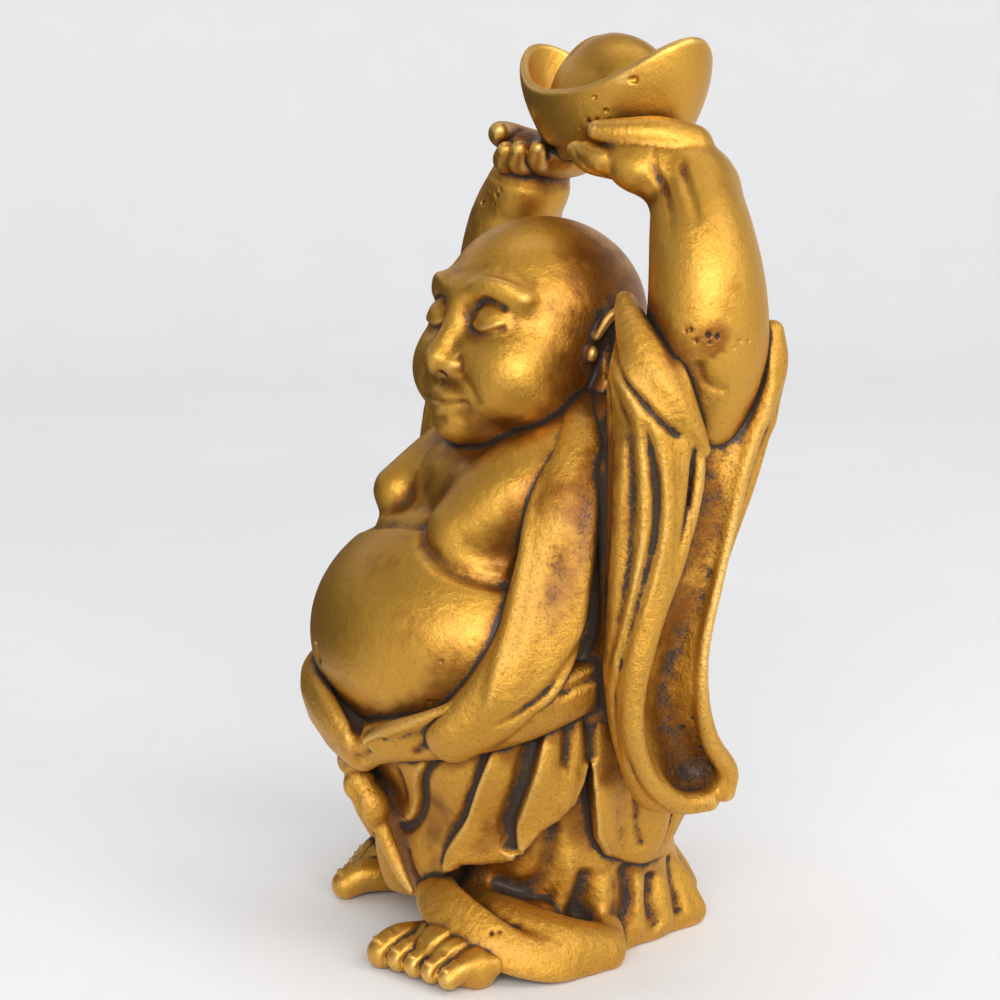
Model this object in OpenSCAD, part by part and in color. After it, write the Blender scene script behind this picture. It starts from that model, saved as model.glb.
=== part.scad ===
// Laughing Buddha statue, standing, holding a gold ingot over his head.
// Cast resin sections that seat in each other and are pinned with steel dowels.
// +Z is up, -Y is the way the figure faces, +X is the figure's own left.
// The origin is on the surface that the statue stands on, under the waist.

/* [Statue] */
// Height from the surface to the top of the ingot's dome, in mm
statue_h = 182; // [120:2:300]

/* [Body] */
// Half width of the belly across the figure, at 182 mm statue height
belly_half_w = 35; // [33:0.5:36]
// How far the belly reaches in front of its own centre
belly_reach = 34; // [33:0.5:35]
// Half width of the skull
head_half_w = 21; // [19:0.5:22]

/* [Ingot] */
// Half length of the ingot from tip to tip
ingot_half_l = 24.5; // [22:0.5:27]
// Half width of the ingot across its rim
ingot_half_w = 15.5; // [14:0.5:17]
// Turn of the ingot over the head, in degrees
ingot_turn = 16; // [0:1:25]

/* [Pins and plug] */
// Diameter of the steel dowels
dowel_d = 4; // [3:0.5:5]
// Gap between a dowel and its hole, on the radius
dowel_gap = 0.1; // [0.05:0.05:0.2]
// Diameter of the plug in the underside
plug_d = 30; // [24:1:34]
// Thickness of that plug
plug_t = 4; // [3:0.5:6]

/* [Hidden] */

design_h = 182;
k = statue_h / design_h;
gold = [0.72, 0.52, 0.16];
steel = [0.7, 0.7, 0.72];
resin = [0.85, 0.8, 0.7];
left = 1;
right = -1;

head_c = [0, -2, 122];
head_tilt = [-10, 0, 14];
ingot_c = [0.5, 14.8, 159.5];
ingot_h = 21;
ingot_rim_low = 11.5;
ingot_wall = 1.8;
dome_low = 7;
dome_r = [16, 10.5, design_h - ingot_c[2] - dome_low];
foot_splay = 20;

// Spine points of the two raised arms: elbow, upper arm, forearm, wrist.
left_arm_line = [[36, 17, 112], [38, 17.5, 124], [37, 17.5, 133], [33, 18, 145], [27, 20, 152.5]];
right_arm_line = [[-36, 8, 112], [-38, 8, 124], [-37, 7.5, 133], [-33, 7.5, 145], [-26, 8, 152]];
arm_radii = [9.5, 11.8, 11.2, 9.8, 8];
// Heel, palm and fingertips of the two hands.
left_hand_line = [[27, 19, 153], [25, 17.5, 157], [22, 10, 157.5], [19, 4.5, 161]];
right_hand_line = [[-26, 7, 153], [-25, 8, 157], [-22.5, 5, 157.5], [-20, 2, 161]];
hand_radii = [7.2, 5.8, 4.4, 2.4];
// The palms that carry the ingot.
left_palm = [18, 13, 157.5];
right_palm = [-17.5, 11, 157.5];

// ---- shared shapes ----

// A rounded mass: an ellipsoid with radii r at c.
module mass(c, r, turn = [0, 0, 0], fn = 20)
    translate(c) rotate(turn) hull() scale(r) sphere(r = 1, $fn = fn);

// A tapering round limb through the points p with the radii r.
module limb(p, r, fn = 12)
    for (i = [0 : len(p) - 2])
        hull() {
            translate(p[i]) sphere(r = r[i], $fn = fn);
            translate(p[i + 1]) sphere(r = r[i + 1], $fn = fn);
        }

// A flat strap through stations [position, turn, half width, half thickness].
module strap(s, fn = 10)
    for (i = [0 : len(s) - 2])
        hull() for (j = [i, i + 1])
            translate(s[j][0]) rotate(s[j][1]) scale([s[j][3], s[j][2], s[j][2]]) sphere(r = 1, $fn = fn);

// A closed skin over a stack of rings that all have the same number of points.
module loft(rings) {
    n = len(rings[0]);
    m = len(rings);
    polyhedron(
        points = [for (r = rings) each r],
        faces = concat(
            [[for (i = [0 : n - 1]) i]],
            [for (j = [0 : m - 2]) for (i = [0 : n - 1]) let (a = j * n + i, b = j * n + (i + 1) % n)
                each [[a, a + n, b], [b, a + n, b + n]]],
            [[for (i = [n - 1 : -1 : 0]) (m - 1) * n + i]]),
        convexity = 6);
}

// An oval ring of a garment: centre, radii, and a number of folds of some depth.
function oval(c, rx, ry, folds = 0, depth = 0, lean = 0, n = 36) =
    [for (i = [0 : n - 1]) let (a = 360 * i / n, w = 1 + depth * sin(folds * a + lean))
        [c[0] + rx * w * cos(a), c[1] + ry * w * sin(a), c[2]]];

// Mirrors a right-hand piece from the left-hand one. The right side stands a little further forward.
module side(s, forward = 8)
    translate([0, s == left ? 0 : -forward, 0]) scale([s, 1, 1]) children();

// ---- the figure's masses, before they are cut to meet each other ----

module torso_form() {
    mass([0, -15, 62], [belly_half_w, belly_reach, 27], fn = 28);
    mass([0, 2, 78], [31, 22, 26], fn = 20);
    mass([0, 0, 92], [27, 17, 13], fn = 16);
    limb([[17, 0, 97], [15, -11, 90], [15, -19, 85]], [12, 11, 7.5], fn = 14);
    limb([[-17, 0, 97], [-15, -12, 92], [-15.5, -25, 89.5]], [12, 11, 7.5], fn = 14);
    limb([[0, 0, 98], [0, 0, 101]], [15, 14]);
    mass([0, -4, 47], [30, 28, 14], fn = 16);
}

module head_form() {
    translate(head_c) rotate(head_tilt) {
        mass([0, 1, 3.5], [head_half_w, 22, 20.5], fn = 24);
        mass([0, -5.5, -9], [18.5, 16, 15], fn = 20);
        for (s = [left, right])
            limb([[s * 20.5, 3, 3], [s * 21.5, 4, -3], [s * 21.5, 2, -12]], [2.8, 3, 3.2], fn = 10);
        limb([[0, -20, 0], [0, -22, -5]], [2, 2.8], fn = 10);
        mass([0, -17.5, -16.5], [6, 5, 5], fn = 12);
    }
    limb([[0, -2, 108], [0, -1, 106]], [15, 15]);
}

module robe_form() {
    loft([
        oval([0, 1, 48], 36, 29.5, 9, 0.012),
        oval([0, 1.5, 60], 37, 30, 9, 0.015),
        oval([0, 3, 74], 37, 29, 9, 0.015),
        oval([0, 4, 88], 36, 26, 7, 0.015),
        oval([0, 5, 100], 33, 22, 7, 0.01),
        oval([0, 6, 108], 27, 17, 7, 0.01),
        oval([0, 8, 113], 19, 12)]);
    for (s = [left, right])
        side(s, 4) limb([[24, 8, 101], [31, 12, 106]], [11, 9.5]);
    limb([[-17, 3, 109], [-11, 15, 113], [0, 18, 114], [11, 15, 113], [17, 3, 109]], [4, 4, 4.5, 4, 4], fn = 10);
}

module lapel_form(s)
    side(s, 0) strap([
        [[18, 1, 108], [0, -20, -25], 6, 3.5],
        [[26, -3, 101], [0, 0, -30], 7, 4],
        [[31, -9, 90], [0, 0, -30], 7.5, 4],
        [[34, -13, 77], [0, 5, -30], 8, 4],
        [[34.5, -17, 65], [0, 15, -40], 8, 4],
        [[32, -24, 56], [0, 25, -50], 7, 4]]);

module sash_form()
    strap([
        [[-37, -2, 60], [0, 10, 180], 7, 3.5],
        [[-34, -22, 54], [0, 20, 215], 8, 4],
        [[-21, -38, 49], [0, 22, 240], 8, 4],
        [[0, -45, 46.5], [0, 25, 270], 8, 4],
        [[21, -38, 46.5], [0, 25, 300], 8, 4],
        [[34, -22, 52], [0, 20, 325], 8, 4],
        [[37, -2, 59], [0, 10, 360], 7, 3.5]]);

module knot_form() {
    mass([1, -42, 35], [4.5, 3.5, 4], fn = 12);
    limb([[1, -42, 36], [3, -41, 28], [5, -39, 20]], [3, 3.2, 2.8], fn = 12);
    limb([[0, -42, 34], [-1.5, -41, 28], [-2, -39, 23]], [2.6, 2.6, 2.2], fn = 10);
}

module overskirt_form() {
    loft([
        oval([0, -7, 9], 25, 26.5, 7, 0.03, 20),
        oval([0, -4, 17], 33, 31, 9, 0.03, 10),
        oval([0, -3, 30], 35.5, 33, 9, 0.025),
        oval([0, -5, 42], 36, 36, 9, 0.02),
        oval([0, -1, 54], 35.5, 33, 9, 0.01),
        oval([0, 1, 59], 35, 30.5)]);
}

module underskirt_form() {
    loft([
        oval([0, 4, 0], 30, 29, 9, 0.03, 30),
        oval([0, 3.5, 4], 31, 29.5, 9, 0.035, 30),
        oval([0, 0.5, 14], 31, 27.5, 9, 0.03, 30),
        oval([0, -2, 26], 31, 29, 9, 0.02, 30)]);
    for (s = [left, right])
        side(s, 0) intersection() {
            limb([[16, -24, 13], [26, -20, 11], [35, -12, 6], [32, 0, 6]], [7, 8, 7, 8], fn = 12);
            translate([0, -60, 0]) cube([80, 120, 60]);
        }
}

module foot_form(s)
    intersection() {
        translate([s * (s == left ? 27.3 : 23), s == left ? -21 : -15, 0]) scale([s, 1, 1]) rotate(foot_splay) {
            limb([[0, 8, 8], [0, -4, 7.5], [0.5, -12, 5.5]], [8.5, 9, 8], fn = 14);
            limb([[-5, -10, 6], [8, -8, 4.5]], [6.5, 5.5], fn = 12);
            for (t = [0 : 4])
                limb([[-9.5 + 5.1 * t, -14 + 1.1 * t, 4.6], [-10 + 5.3 * t, -21 + 1.7 * t, 4]],
                     [4.4 - 0.2 * t, (t == 0 ? 4.6 : 3.7) - 0.12 * t], fn = 10);
        }
        translate([-60, -80, 0]) cube([120, 120, 60]);
    }

module sleeve_form(s)
    side(s) {
        hull() {
            mass([37, 15, 121], [9, 17, 6]);
            mass([40, 14, 107], [8, 16, 8]);
        }
        hull() {
            mass([40, 14, 107], [8, 16, 8]);
            mass([42, 8, 84], [7, 12, 8]);
        }
        hull() {
            mass([42, 8, 84], [7, 12, 8]);
            mass([43, 4.5, 60], [6.5, 9.5, 8]);
        }
        hull() {
            mass([43, 4.5, 60], [6.5, 9.5, 8]);
            mass([43.5, 6.5, 49], [6.2, 10, 6]);
        }
        hull() {
            mass([43.5, 6.5, 49], [6.2, 10, 6]);
            mass([44, 10.5, 39.5], [6, 11.2, 6.5]);
        }
        limb([[29, 4, 131], [35, 5, 122], [41, 5, 112]], [2, 4.5, 6], fn = 12);
        limb([[41, 29.5, 123], [41, 26, 108]], [3.5, 4], fn = 12);
        difference() {
            limb([[35, 7, 108], [35, 5, 62]], [9, 6]);
            translate([0, -60, 0]) cube([32, 120, 200]);
        }
    }

module sleeve_hollow(s)
    side(s) limb([[43, 18, 124], [50, 18, 108], [51, 13.5, 84], [51, 7, 62], [51, 8, 50], [51, 11.5, 42]],
                 [10, 8, 5.2, 4.4, 4.6, 6.5]);

module arm_form(s) {
    hand = s == left ? left_hand_line : right_hand_line;
    limb(s == left ? left_arm_line : right_arm_line, arm_radii, fn = 16);
    limb(hand, hand_radii);
    mass(s == left ? left_palm : right_palm, [7, 8, 4.5], [0, 0, ingot_turn]);
    for (f = [1 : 3])
        limb([hand[2] - [s * 3.3 * f, 0.4 * f, 0.6], hand[3] - [s * 3.1 * f, -0.6 * f, 1 + 0.4 * f]],
             [2.6, 2], fn = 8);
}

// Outer surface of the ingot: a boat that flares from its foot to its rim.
function boat_ring(t, inset = 0, n = 32) =
    let (l = ingot_half_l * (0.74 + 0.26 * sin(90 * t)) - inset, w = ingot_half_w * (0.66 + 0.34 * sin(90 * t)) - inset)
    [for (i = [0 : n - 1]) let (a = 360 * i / n, rise = pow(abs(cos(a)), 2.4))
        [l * cos(a), w * sin(a) * (1 - 0.1 * t * rise), t * (ingot_rim_low + (ingot_h - ingot_rim_low) * rise)]];

module ingot_body_form()
    translate(ingot_c) rotate(ingot_turn)
        loft([for (t = [0, 0.15, 0.35, 0.6, 0.8, 1]) boat_ring(t)]);

// Rings of the dome that stands in the boat, from its foot to its top.
function dome_ring(t, n = 32) =
    [for (i = [0 : n - 1]) let (a = 360 * i / n)
        [dome_r[0] * cos(t) * cos(a), dome_r[1] * cos(t) * sin(a), dome_low + dome_r[2] * sin(t)]];

// One skin: up the outside, over the rim, down into the boat and up over the dome.
module ingot_skin()
    translate(ingot_c) rotate(ingot_turn)
        loft([
            for (t = [0, 0.15, 0.35, 0.6, 0.8, 1]) boat_ring(t),
            for (t = [1, 0.8, 0.6]) boat_ring(t, ingot_wall),
            for (t = [0, 15, 35, 55, 72, 84]) dome_ring(t)]);

// ---- pins ----

module pin(a, b, grow = 0, fn = 48) {
    v = b - a;
    translate(a) rotate([0, acos(v[2] / norm(v)), atan2(v[1], v[0])])
        translate([0, 0, -grow]) cylinder(d = dowel_d + 2 * grow, h = norm(v) + 2 * grow, $fn = fn);
}

neck_pin = [[0, -1, 82], [0, -2, 114]];
waist_pin = [[0, -4, 24], [0, -4, 52]];
arm_pins = [[[24, 10, 100], [37, 17, 121]], [[-24, 2, 100], [-37, 9, 121]]];
ingot_pin_pts = [[[18, 10, 155], [14.5, 14.5, 164]], [[-18, 5, 155], [-14.5, 10, 164]]];
foot_pin_pts = [[[24, -26, 6], [20, -8, 7.5]], [[-21, -23, 6], [-18, -5, 7.5]]];

module holes(list)
    for (p = list) pin(p[0], p[1], dowel_gap, 16);

// ---- nodes ----

module torso()
    color(gold) difference() {
        torso_form();
        head_form();
        holes([neck_pin, waist_pin]);
        holes(arm_pins);
    }

module head()
    color(gold) difference() {
        head_form();
        holes([neck_pin]);
    }

module lapel(s)
    color(gold) difference() {
        lapel_form(s);
        torso_form();
        head_form();
    }

module belly_sash()
    color(gold) difference() {
        sash_form();
        torso_form();
        lapel_form(left);
        lapel_form(right);
    }

module sash_knot()
    color(gold) difference() {
        knot_form();
        sash_form();
        overskirt_form();
        torso_form();
    }

module outer_robe()
    color(gold) difference() {
        robe_form();
        translate([-60, -100, 40]) cube([120, 86, 100]);
        translate([-26, -60, 92]) cube([52, 60, 30]);
        torso_form();
        head_form();
        lapel_form(left);
        lapel_form(right);
        sash_form();
        arm_form(left);
        arm_form(right);
        holes(arm_pins);
    }

module overskirt()
    color(gold) difference() {
        overskirt_form();
        torso_form();
        robe_form();
        sash_form();
        lapel_form(left);
        lapel_form(right);
        holes([waist_pin]);
    }

module underskirt()
    color(gold) difference() {
        underskirt_form();
        overskirt_form();
        foot_form(left);
        foot_form(right);
        translate([0, 0, -1]) cylinder(d = plug_d + 2 * dowel_gap, h = plug_t + 1, $fn = 36);
        cylinder(d = plug_d - 4, h = 12, $fn = 36);
        holes(foot_pin_pts);
        holes([waist_pin]);
    }

module foot(s)
    color(gold) difference() {
        foot_form(s);
        overskirt_form();
        holes(foot_pin_pts);
    }

module sleeve(s)
    color(gold) difference() {
        sleeve_form(s);
        sleeve_hollow(s);
        arm_form(s);
        robe_form();
        torso_form();
        lapel_form(s);
        sash_form();
        overskirt_form();
        head_form();
    }

module arm(s)
    color(gold) difference() {
        arm_form(s);
        ingot_body_form();
        holes(arm_pins);
        holes(ingot_pin_pts);
    }

module ingot()
    color(gold) difference() {
        ingot_skin();
        holes(ingot_pin_pts);
    }

module dowel(p)
    color(steel) pin(p[0], p[1]);

module base_plug()
    color(resin) cylinder(d = plug_d, h = plug_t, $fn = 64);

scale(k) torso();
scale(k) head();
scale(k) outer_robe();
scale(k) lapel(left);  // left_lapel
scale(k) lapel(right);  // right_lapel
scale(k) belly_sash();
scale(k) sash_knot();
scale(k) overskirt();
scale(k) underskirt();
scale(k) foot(left);  // left_foot
scale(k) foot(right);  // right_foot
scale(k) sleeve(left);  // left_sleeve
scale(k) sleeve(right);  // right_sleeve
scale(k) arm(left);  // left_arm
scale(k) arm(right);  // right_arm
scale(k) ingot();
scale(k) dowel(neck_pin);  // neck_dowel
scale(k) dowel(arm_pins[0]);  // left_arm_dowel
scale(k) dowel(arm_pins[1]);  // right_arm_dowel
scale(k) for (p = ingot_pin_pts) dowel(p);  // ingot_pins
scale(k) dowel(waist_pin);  // waist_dowel
scale(k) for (p = foot_pin_pts) dowel(p);  // foot_pins
scale(k) base_plug();
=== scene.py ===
# %% [markdown]
# # A gold laughing buddha, carved in virtual clay
# This lesson builds a small standing statue that holds an ingot over its head. The real one is cast
# in resin from a carved master, painted gold, and rubbed with a dark wash that stays in the creases.
# A carving is hard to build from boxes and subdivision, so each piece starts as a block of clay that
# we can press masses into and cut lines into. At the end each block becomes one closed mesh.

# %% Load the frame
import math
import bpy
import numpy as np
import openvdb
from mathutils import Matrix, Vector


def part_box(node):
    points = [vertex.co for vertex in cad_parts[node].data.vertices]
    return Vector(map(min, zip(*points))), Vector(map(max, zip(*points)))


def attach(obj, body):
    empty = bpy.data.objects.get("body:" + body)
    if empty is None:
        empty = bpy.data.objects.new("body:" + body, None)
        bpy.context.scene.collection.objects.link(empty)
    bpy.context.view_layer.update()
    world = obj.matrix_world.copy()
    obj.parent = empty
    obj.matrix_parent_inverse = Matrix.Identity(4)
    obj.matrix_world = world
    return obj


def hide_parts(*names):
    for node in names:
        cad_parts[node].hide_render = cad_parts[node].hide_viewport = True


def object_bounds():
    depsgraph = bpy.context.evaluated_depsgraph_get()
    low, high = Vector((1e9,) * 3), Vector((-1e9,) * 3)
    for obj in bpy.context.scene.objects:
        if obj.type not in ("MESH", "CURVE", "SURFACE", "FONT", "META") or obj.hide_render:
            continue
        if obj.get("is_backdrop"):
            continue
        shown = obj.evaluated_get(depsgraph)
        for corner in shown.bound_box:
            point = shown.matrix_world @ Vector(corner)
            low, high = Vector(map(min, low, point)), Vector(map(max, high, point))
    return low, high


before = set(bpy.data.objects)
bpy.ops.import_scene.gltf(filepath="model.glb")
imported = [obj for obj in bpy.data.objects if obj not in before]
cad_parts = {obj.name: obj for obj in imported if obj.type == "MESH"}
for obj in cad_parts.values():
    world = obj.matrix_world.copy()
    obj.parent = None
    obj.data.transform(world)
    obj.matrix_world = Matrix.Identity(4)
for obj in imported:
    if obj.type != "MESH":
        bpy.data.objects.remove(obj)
cad_low, cad_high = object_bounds()
MM = (cad_high.z - cad_low.z) / 182      # one design millimetre, in metres
LEFT, RIGHT = 1, -1                      # the figure's own sides, along +X and -X
STEP = 0.4        # size of one grain of clay, in mm
print("CAD box, mm:", [round(c / MM, 1) for c in (*cad_low, *cad_high)])

# %% [markdown]
# ## The clay
# A block of clay is a grid of numbers. Each number is the distance to the skin of the piece, below
# zero inside and above zero outside. Adding a mass keeps the smaller of two distances, and cutting
# one away keeps the larger of one and minus the other. If the two are mixed near where they meet,
# the join gets a soft fillet, like a thumb run along wet clay.

# %% Blocks of clay
FAR = 9.0                                # distance kept where no clay is near, in mm


def soft_min(a, b, fillet):
    """The smaller of two distances, rounded off where they are within a fillet of each other."""
    if fillet <= 0:
        return np.minimum(a, b)
    h = np.maximum(fillet - np.abs(a - b), 0) / fillet
    return np.minimum(a, b) - h * h * fillet / 4


def soft_max(a, b, fillet):
    return -soft_min(-a, -b, fillet)


class Clay:
    """Distances on a grid from low to high, in mm."""

    def __init__(self, low, high, step=STEP):
        self.step = step
        self.low = np.floor(np.array(low, float) / step - 3) * step
        self.count = np.ceil((np.array(high, float) - self.low) / step + 3).astype(int)
        self.d = np.full(self.count, FAR, np.float32)

    def window(self, low, high):
        """The part of the grid between two corners, as slices and as x, y and z that broadcast."""
        a = np.clip(np.floor((np.array(low) - self.low) / self.step).astype(int), 0, self.count - 1)
        b = np.clip(np.ceil((np.array(high) - self.low) / self.step).astype(int) + 1, a + 1, self.count)
        xyz = [(self.low[i] + self.step * np.arange(a[i], b[i])).astype(np.float32).reshape(
            [-1 if j == i else 1 for j in range(3)]) for i in range(3)]
        return tuple(slice(p, q) for p, q in zip(a, b)), xyz

    def everywhere(self):
        return self.window(self.low, self.low + self.step * (self.count - 1))

    def join(self, where, d, fillet=0.0):
        self.d[where] = soft_min(self.d[where], d, fillet)

    def cut(self, where, d, fillet=0.0):
        self.d[where] = soft_max(self.d[where], -d, fillet)

    def sample(self, p):
        """Distances at free points, read between the grid's own."""
        q = (np.asarray(p, np.float32) - self.low) / self.step
        inside = ((q >= 0) & (q < self.count - 1.001)).all(1)
        out = np.full(len(q), FAR, np.float32)
        q = q[inside]
        i = q.astype(int)
        f = q - i
        total = 0
        for dx in (0, 1):
            for dy in (0, 1):
                for dz in (0, 1):
                    w = ((f[:, 0] if dx else 1 - f[:, 0]) * (f[:, 1] if dy else 1 - f[:, 1])
                         * (f[:, 2] if dz else 1 - f[:, 2]))
                    total = total + w * self.d[i[:, 0] + dx, i[:, 1] + dy, i[:, 2] + dz]
        out[inside] = total
        return out


def blurred(a, width):
    """A soft blur: two running means along each axis, of an odd number of grains."""
    for axis in (0, 1, 2, 0, 1, 2):
        pad = [(0, 0)] * 3
        pad[axis] = (width // 2 + 1, width // 2)
        total = np.moveaxis(np.cumsum(np.pad(a, pad, mode="edge"), axis=axis, dtype=np.float32), axis, 0)
        a = np.moveaxis((total[width:] - total[:-width]) / width, 0, axis)
    return np.ascontiguousarray(a)


def soften(clay, mm):
    """Smooths the skin over about this length, as a wet sponge does."""
    width = max(1, round(mm / clay.step / 2)) * 2 + 1
    clay.d = blurred(clay.d, width)


def mirrored(points, s):
    """The same points on the figure's left (s = 1) or right (s = -1)."""
    return [(s * p[0], *p[1:]) for p in points]


def turn(x=0, y=0, z=0):
    """A turn by three angles in degrees, about x first and z last."""
    a, b, c = np.radians([x, y, z])
    rx = np.array([[1, 0, 0], [0, math.cos(a), -math.sin(a)], [0, math.sin(a), math.cos(a)]])
    ry = np.array([[math.cos(b), 0, math.sin(b)], [0, 1, 0], [-math.sin(b), 0, math.cos(b)]])
    rz = np.array([[math.cos(c), -math.sin(c), 0], [math.sin(c), math.cos(c), 0], [0, 0, 1]])
    return rz @ ry @ rx


# %% [markdown]
# ## Masses, limbs and straps
# Three kinds of lump make nearly everything. A mass is a turned ellipsoid. A limb is a round bar whose
# thickness changes along a smooth curve. A strap is a flat band that lies along a curve. Each tool
# works only in the small window of the grid that it can reach, which keeps the carving quick.

# %% Lumps
def mass(clay, centre, radii, fillet=0.0, turned=None, cut=False):
    """An ellipsoid, joined to the clay or cut out of it."""
    reach = max(radii) + fillet + 1.5
    c = np.array(centre, float)
    where, (x, y, z) = clay.window(c - reach, c + reach)
    p = (x - c[0], y - c[1], z - c[2])
    if turned is not None:
        t = turned.T
        p = [t[i][0] * p[0] + t[i][1] * p[1] + t[i][2] * p[2] for i in range(3)]
    r = [float(v) for v in radii]
    near = np.sqrt((p[0] / r[0]) ** 2 + (p[1] / r[1]) ** 2 + (p[2] / r[2]) ** 2)
    steep = np.sqrt((p[0] / r[0] ** 2) ** 2 + (p[1] / r[1] ** 2) ** 2 + (p[2] / r[2] ** 2) ** 2) + 1e-6
    d = near * (near - 1) / steep
    (clay.cut if cut else clay.join)(where, d, fillet)


def smooth_curve(points, per_span=6):
    """Points along a smooth curve through the given points, of any number of columns."""
    p = np.array(points, float)
    if len(p) == 2:
        return p[0] + (p[1] - p[0]) * np.linspace(0, 1, per_span + 1)[:, None]
    ends = np.vstack([2 * p[0] - p[1], p, 2 * p[-1] - p[-2]])
    out = []
    for i in range(1, len(ends) - 2):
        a, b, c, d = ends[i - 1:i + 3]
        for t in np.arange(per_span) / per_span:
            out.append(0.5 * (2 * b + (c - a) * t + (2 * a - 5 * b + 4 * c - d) * t * t
                              + (3 * b - a - 3 * c + d) * t ** 3))
    out.append(p[-1])
    return np.array(out)


def limb(clay, points, radii, fillet=0.0, cut=False, per_span=5):
    """A round bar along a smooth curve, with a radius at each point."""
    radii = [radii] * len(points) if np.isscalar(radii) else radii
    line = smooth_curve([(*p, r) for p, r in zip(points, radii)], per_span)
    r_max = line[:, 3].max()
    low, high = line[:, :3].min(0) - r_max - fillet - 1.5, line[:, :3].max(0) + r_max + fillet + 1.5
    where, _ = clay.window(low, high)
    d = np.full(clay.d[where].shape, FAR, np.float32)
    start = np.array([s.start for s in where])
    for a, b in zip(line[:-1], line[1:]):
        reach = max(a[3], b[3]) + fillet + 1.5
        small, (x, y, z) = clay.window(np.minimum(a, b)[:3] - reach, np.maximum(a, b)[:3] + reach)
        v = b[:3] - a[:3]
        t = np.clip(((x - a[0]) * v[0] + (y - a[1]) * v[1] + (z - a[2]) * v[2]) / max(v @ v, 1e-6), 0, 1)
        e = np.sqrt((x - a[0] - t * v[0]) ** 2 + (y - a[1] - t * v[1]) ** 2
                    + (z - a[2] - t * v[2]) ** 2) - (a[3] + (b[3] - a[3]) * t)
        inner = tuple(slice(s.start - o, s.stop - o) for s, o in zip(small, start))
        d[inner] = np.minimum(d[inner], e)
    (clay.cut if cut else clay.join)(where, d, fillet)


def strap(clay, stations, fillet=0.0, square=3.0, per_span=10, cut=False):
    """A flat band through stations (x, y, z, lean, heading, half width, half thickness).
    Its flat side looks along the heading, in degrees round the statue, and leans back from it."""
    line = smooth_curve(stations, per_span)
    reach = line[:, 5:7].max() + fillet + 1.5
    where, _ = clay.window(line[:, :3].min(0) - reach, line[:, :3].max(0) + reach)
    d = np.full(clay.d[where].shape, FAR, np.float32)
    start = np.array([s.start for s in where])
    for s in line:
        t = turn(0, s[3], s[4]).T
        r = (s[6], s[5], s[5])
        small, (x, y, z) = clay.window(s[:3] - s[5] - fillet - 1.5, s[:3] + s[5] + fillet + 1.5)
        p = [np.abs(t[i][0] * (x - s[0]) + t[i][1] * (y - s[1]) + t[i][2] * (z - s[2])) / r[i]
             for i in range(3)]
        round_part = np.sqrt(p[1] ** 2 + p[2] ** 2)
        q = (p[0] ** square + round_part ** square) ** (1 / square)
        e = (q - 1) * np.where(p[0] > round_part * 0.8, r[0], 0.6 * r[1])
        inner = tuple(slice(w.start - o, w.stop - o) for w, o in zip(small, start))
        d[inner] = np.minimum(d[inner], e)
    (clay.cut if cut else clay.join)(where, d, fillet)


# %% [markdown]
# ## Lines on the skin
# Folds and creases are not new lumps. They raise or lower the skin that is already there, along a
# line drawn on it. A groove is a narrow dent, a ridge is a wide swelling, and a ledge is the edge of
# one layer of cloth on another: high on one side of the line and low on the other. The line is first
# settled onto the skin, so it may be drawn roughly, and both of its ends fade out.

# %% Grooves, ridges and ledges
def along(clay, line, reach):
    """Distance to a line, place along it from 0 to 1, and which side of it, near the line."""
    where, _ = clay.window(line.min(0) - reach, line.max(0) + reach)
    shape = clay.d[where].shape
    dist, place, side = (np.full(shape, v, np.float32) for v in (1e3, 0, 0))
    start = np.array([s.start for s in where])
    length = np.concatenate([[0], np.cumsum(np.linalg.norm(np.diff(line, axis=0), axis=1))])
    for i, (a, b) in enumerate(zip(line[:-1], line[1:])):
        small, (x, y, z) = clay.window(np.minimum(a, b) - reach, np.maximum(a, b) + reach)
        v = b - a
        t = np.clip(((x - a[0]) * v[0] + (y - a[1]) * v[1] + (z - a[2]) * v[2]) / max(v @ v, 1e-6), 0, 1)
        e = np.sqrt((x - a[0] - t * v[0]) ** 2 + (y - a[1] - t * v[1]) ** 2 + (z - a[2] - t * v[2]) ** 2)
        out = np.array([a[0], a[1] - out_from[1], 0.0])
        across = np.cross(v, out)
        across /= np.linalg.norm(across) + 1e-6
        s = (x - a[0]) * across[0] + (y - a[1]) * across[1] + (z - a[2]) * across[2]
        inner = tuple(slice(p.start - o, p.stop - o) for p, o in zip(small, start))
        near = e < dist[inner]
        dist[inner] = np.where(near, e, dist[inner])
        place[inner] = np.where(near, (length[i] + t * (length[i + 1] - length[i])) / length[-1],
                                place[inner])
        side[inner] = np.where(near, s, side[inner])
    return where, dist, place, side


out_from = (0, 0)                        # the axis that "outwards" is measured from


def ends(place, fade=0.15):
    """1 along most of a line, falling to 0 at its two ends."""
    t = np.clip(np.minimum(place, 1 - place) / fade, 0, 1)
    return t * t * (3 - 2 * t)


def settle(clay, points):
    """Points moved straight onto the skin of the clay, along the way that the distance falls."""
    p = np.array(points, float)
    for _ in range(4):
        steps = np.repeat(np.eye(3) * 0.6, 2, axis=0) * np.tile([1, -1], 3)[:, None]
        near = clay.sample((p[:, None] + steps).reshape(-1, 3)).reshape(len(p), 3, 2)
        way = near[:, :, 0] - near[:, :, 1]
        way /= np.linalg.norm(way, axis=1, keepdims=True) + 1e-3
        p = p - way * np.clip(clay.sample(p), -2, 2)[:, None]
    return p


def groove(clay, points, width=0.9, depth=1.0, fade=0.15):
    line = settle(clay, smooth_curve(points))
    where, dist, place, _ = along(clay, line, 3 * width + 0.8)
    clay.d[where] += depth * np.exp(-(dist / width) ** 2) * ends(place, fade)


def ridge(clay, points, width=2.2, height=0.8, fade=0.3):
    groove(clay, points, width, -height, fade)


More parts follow.
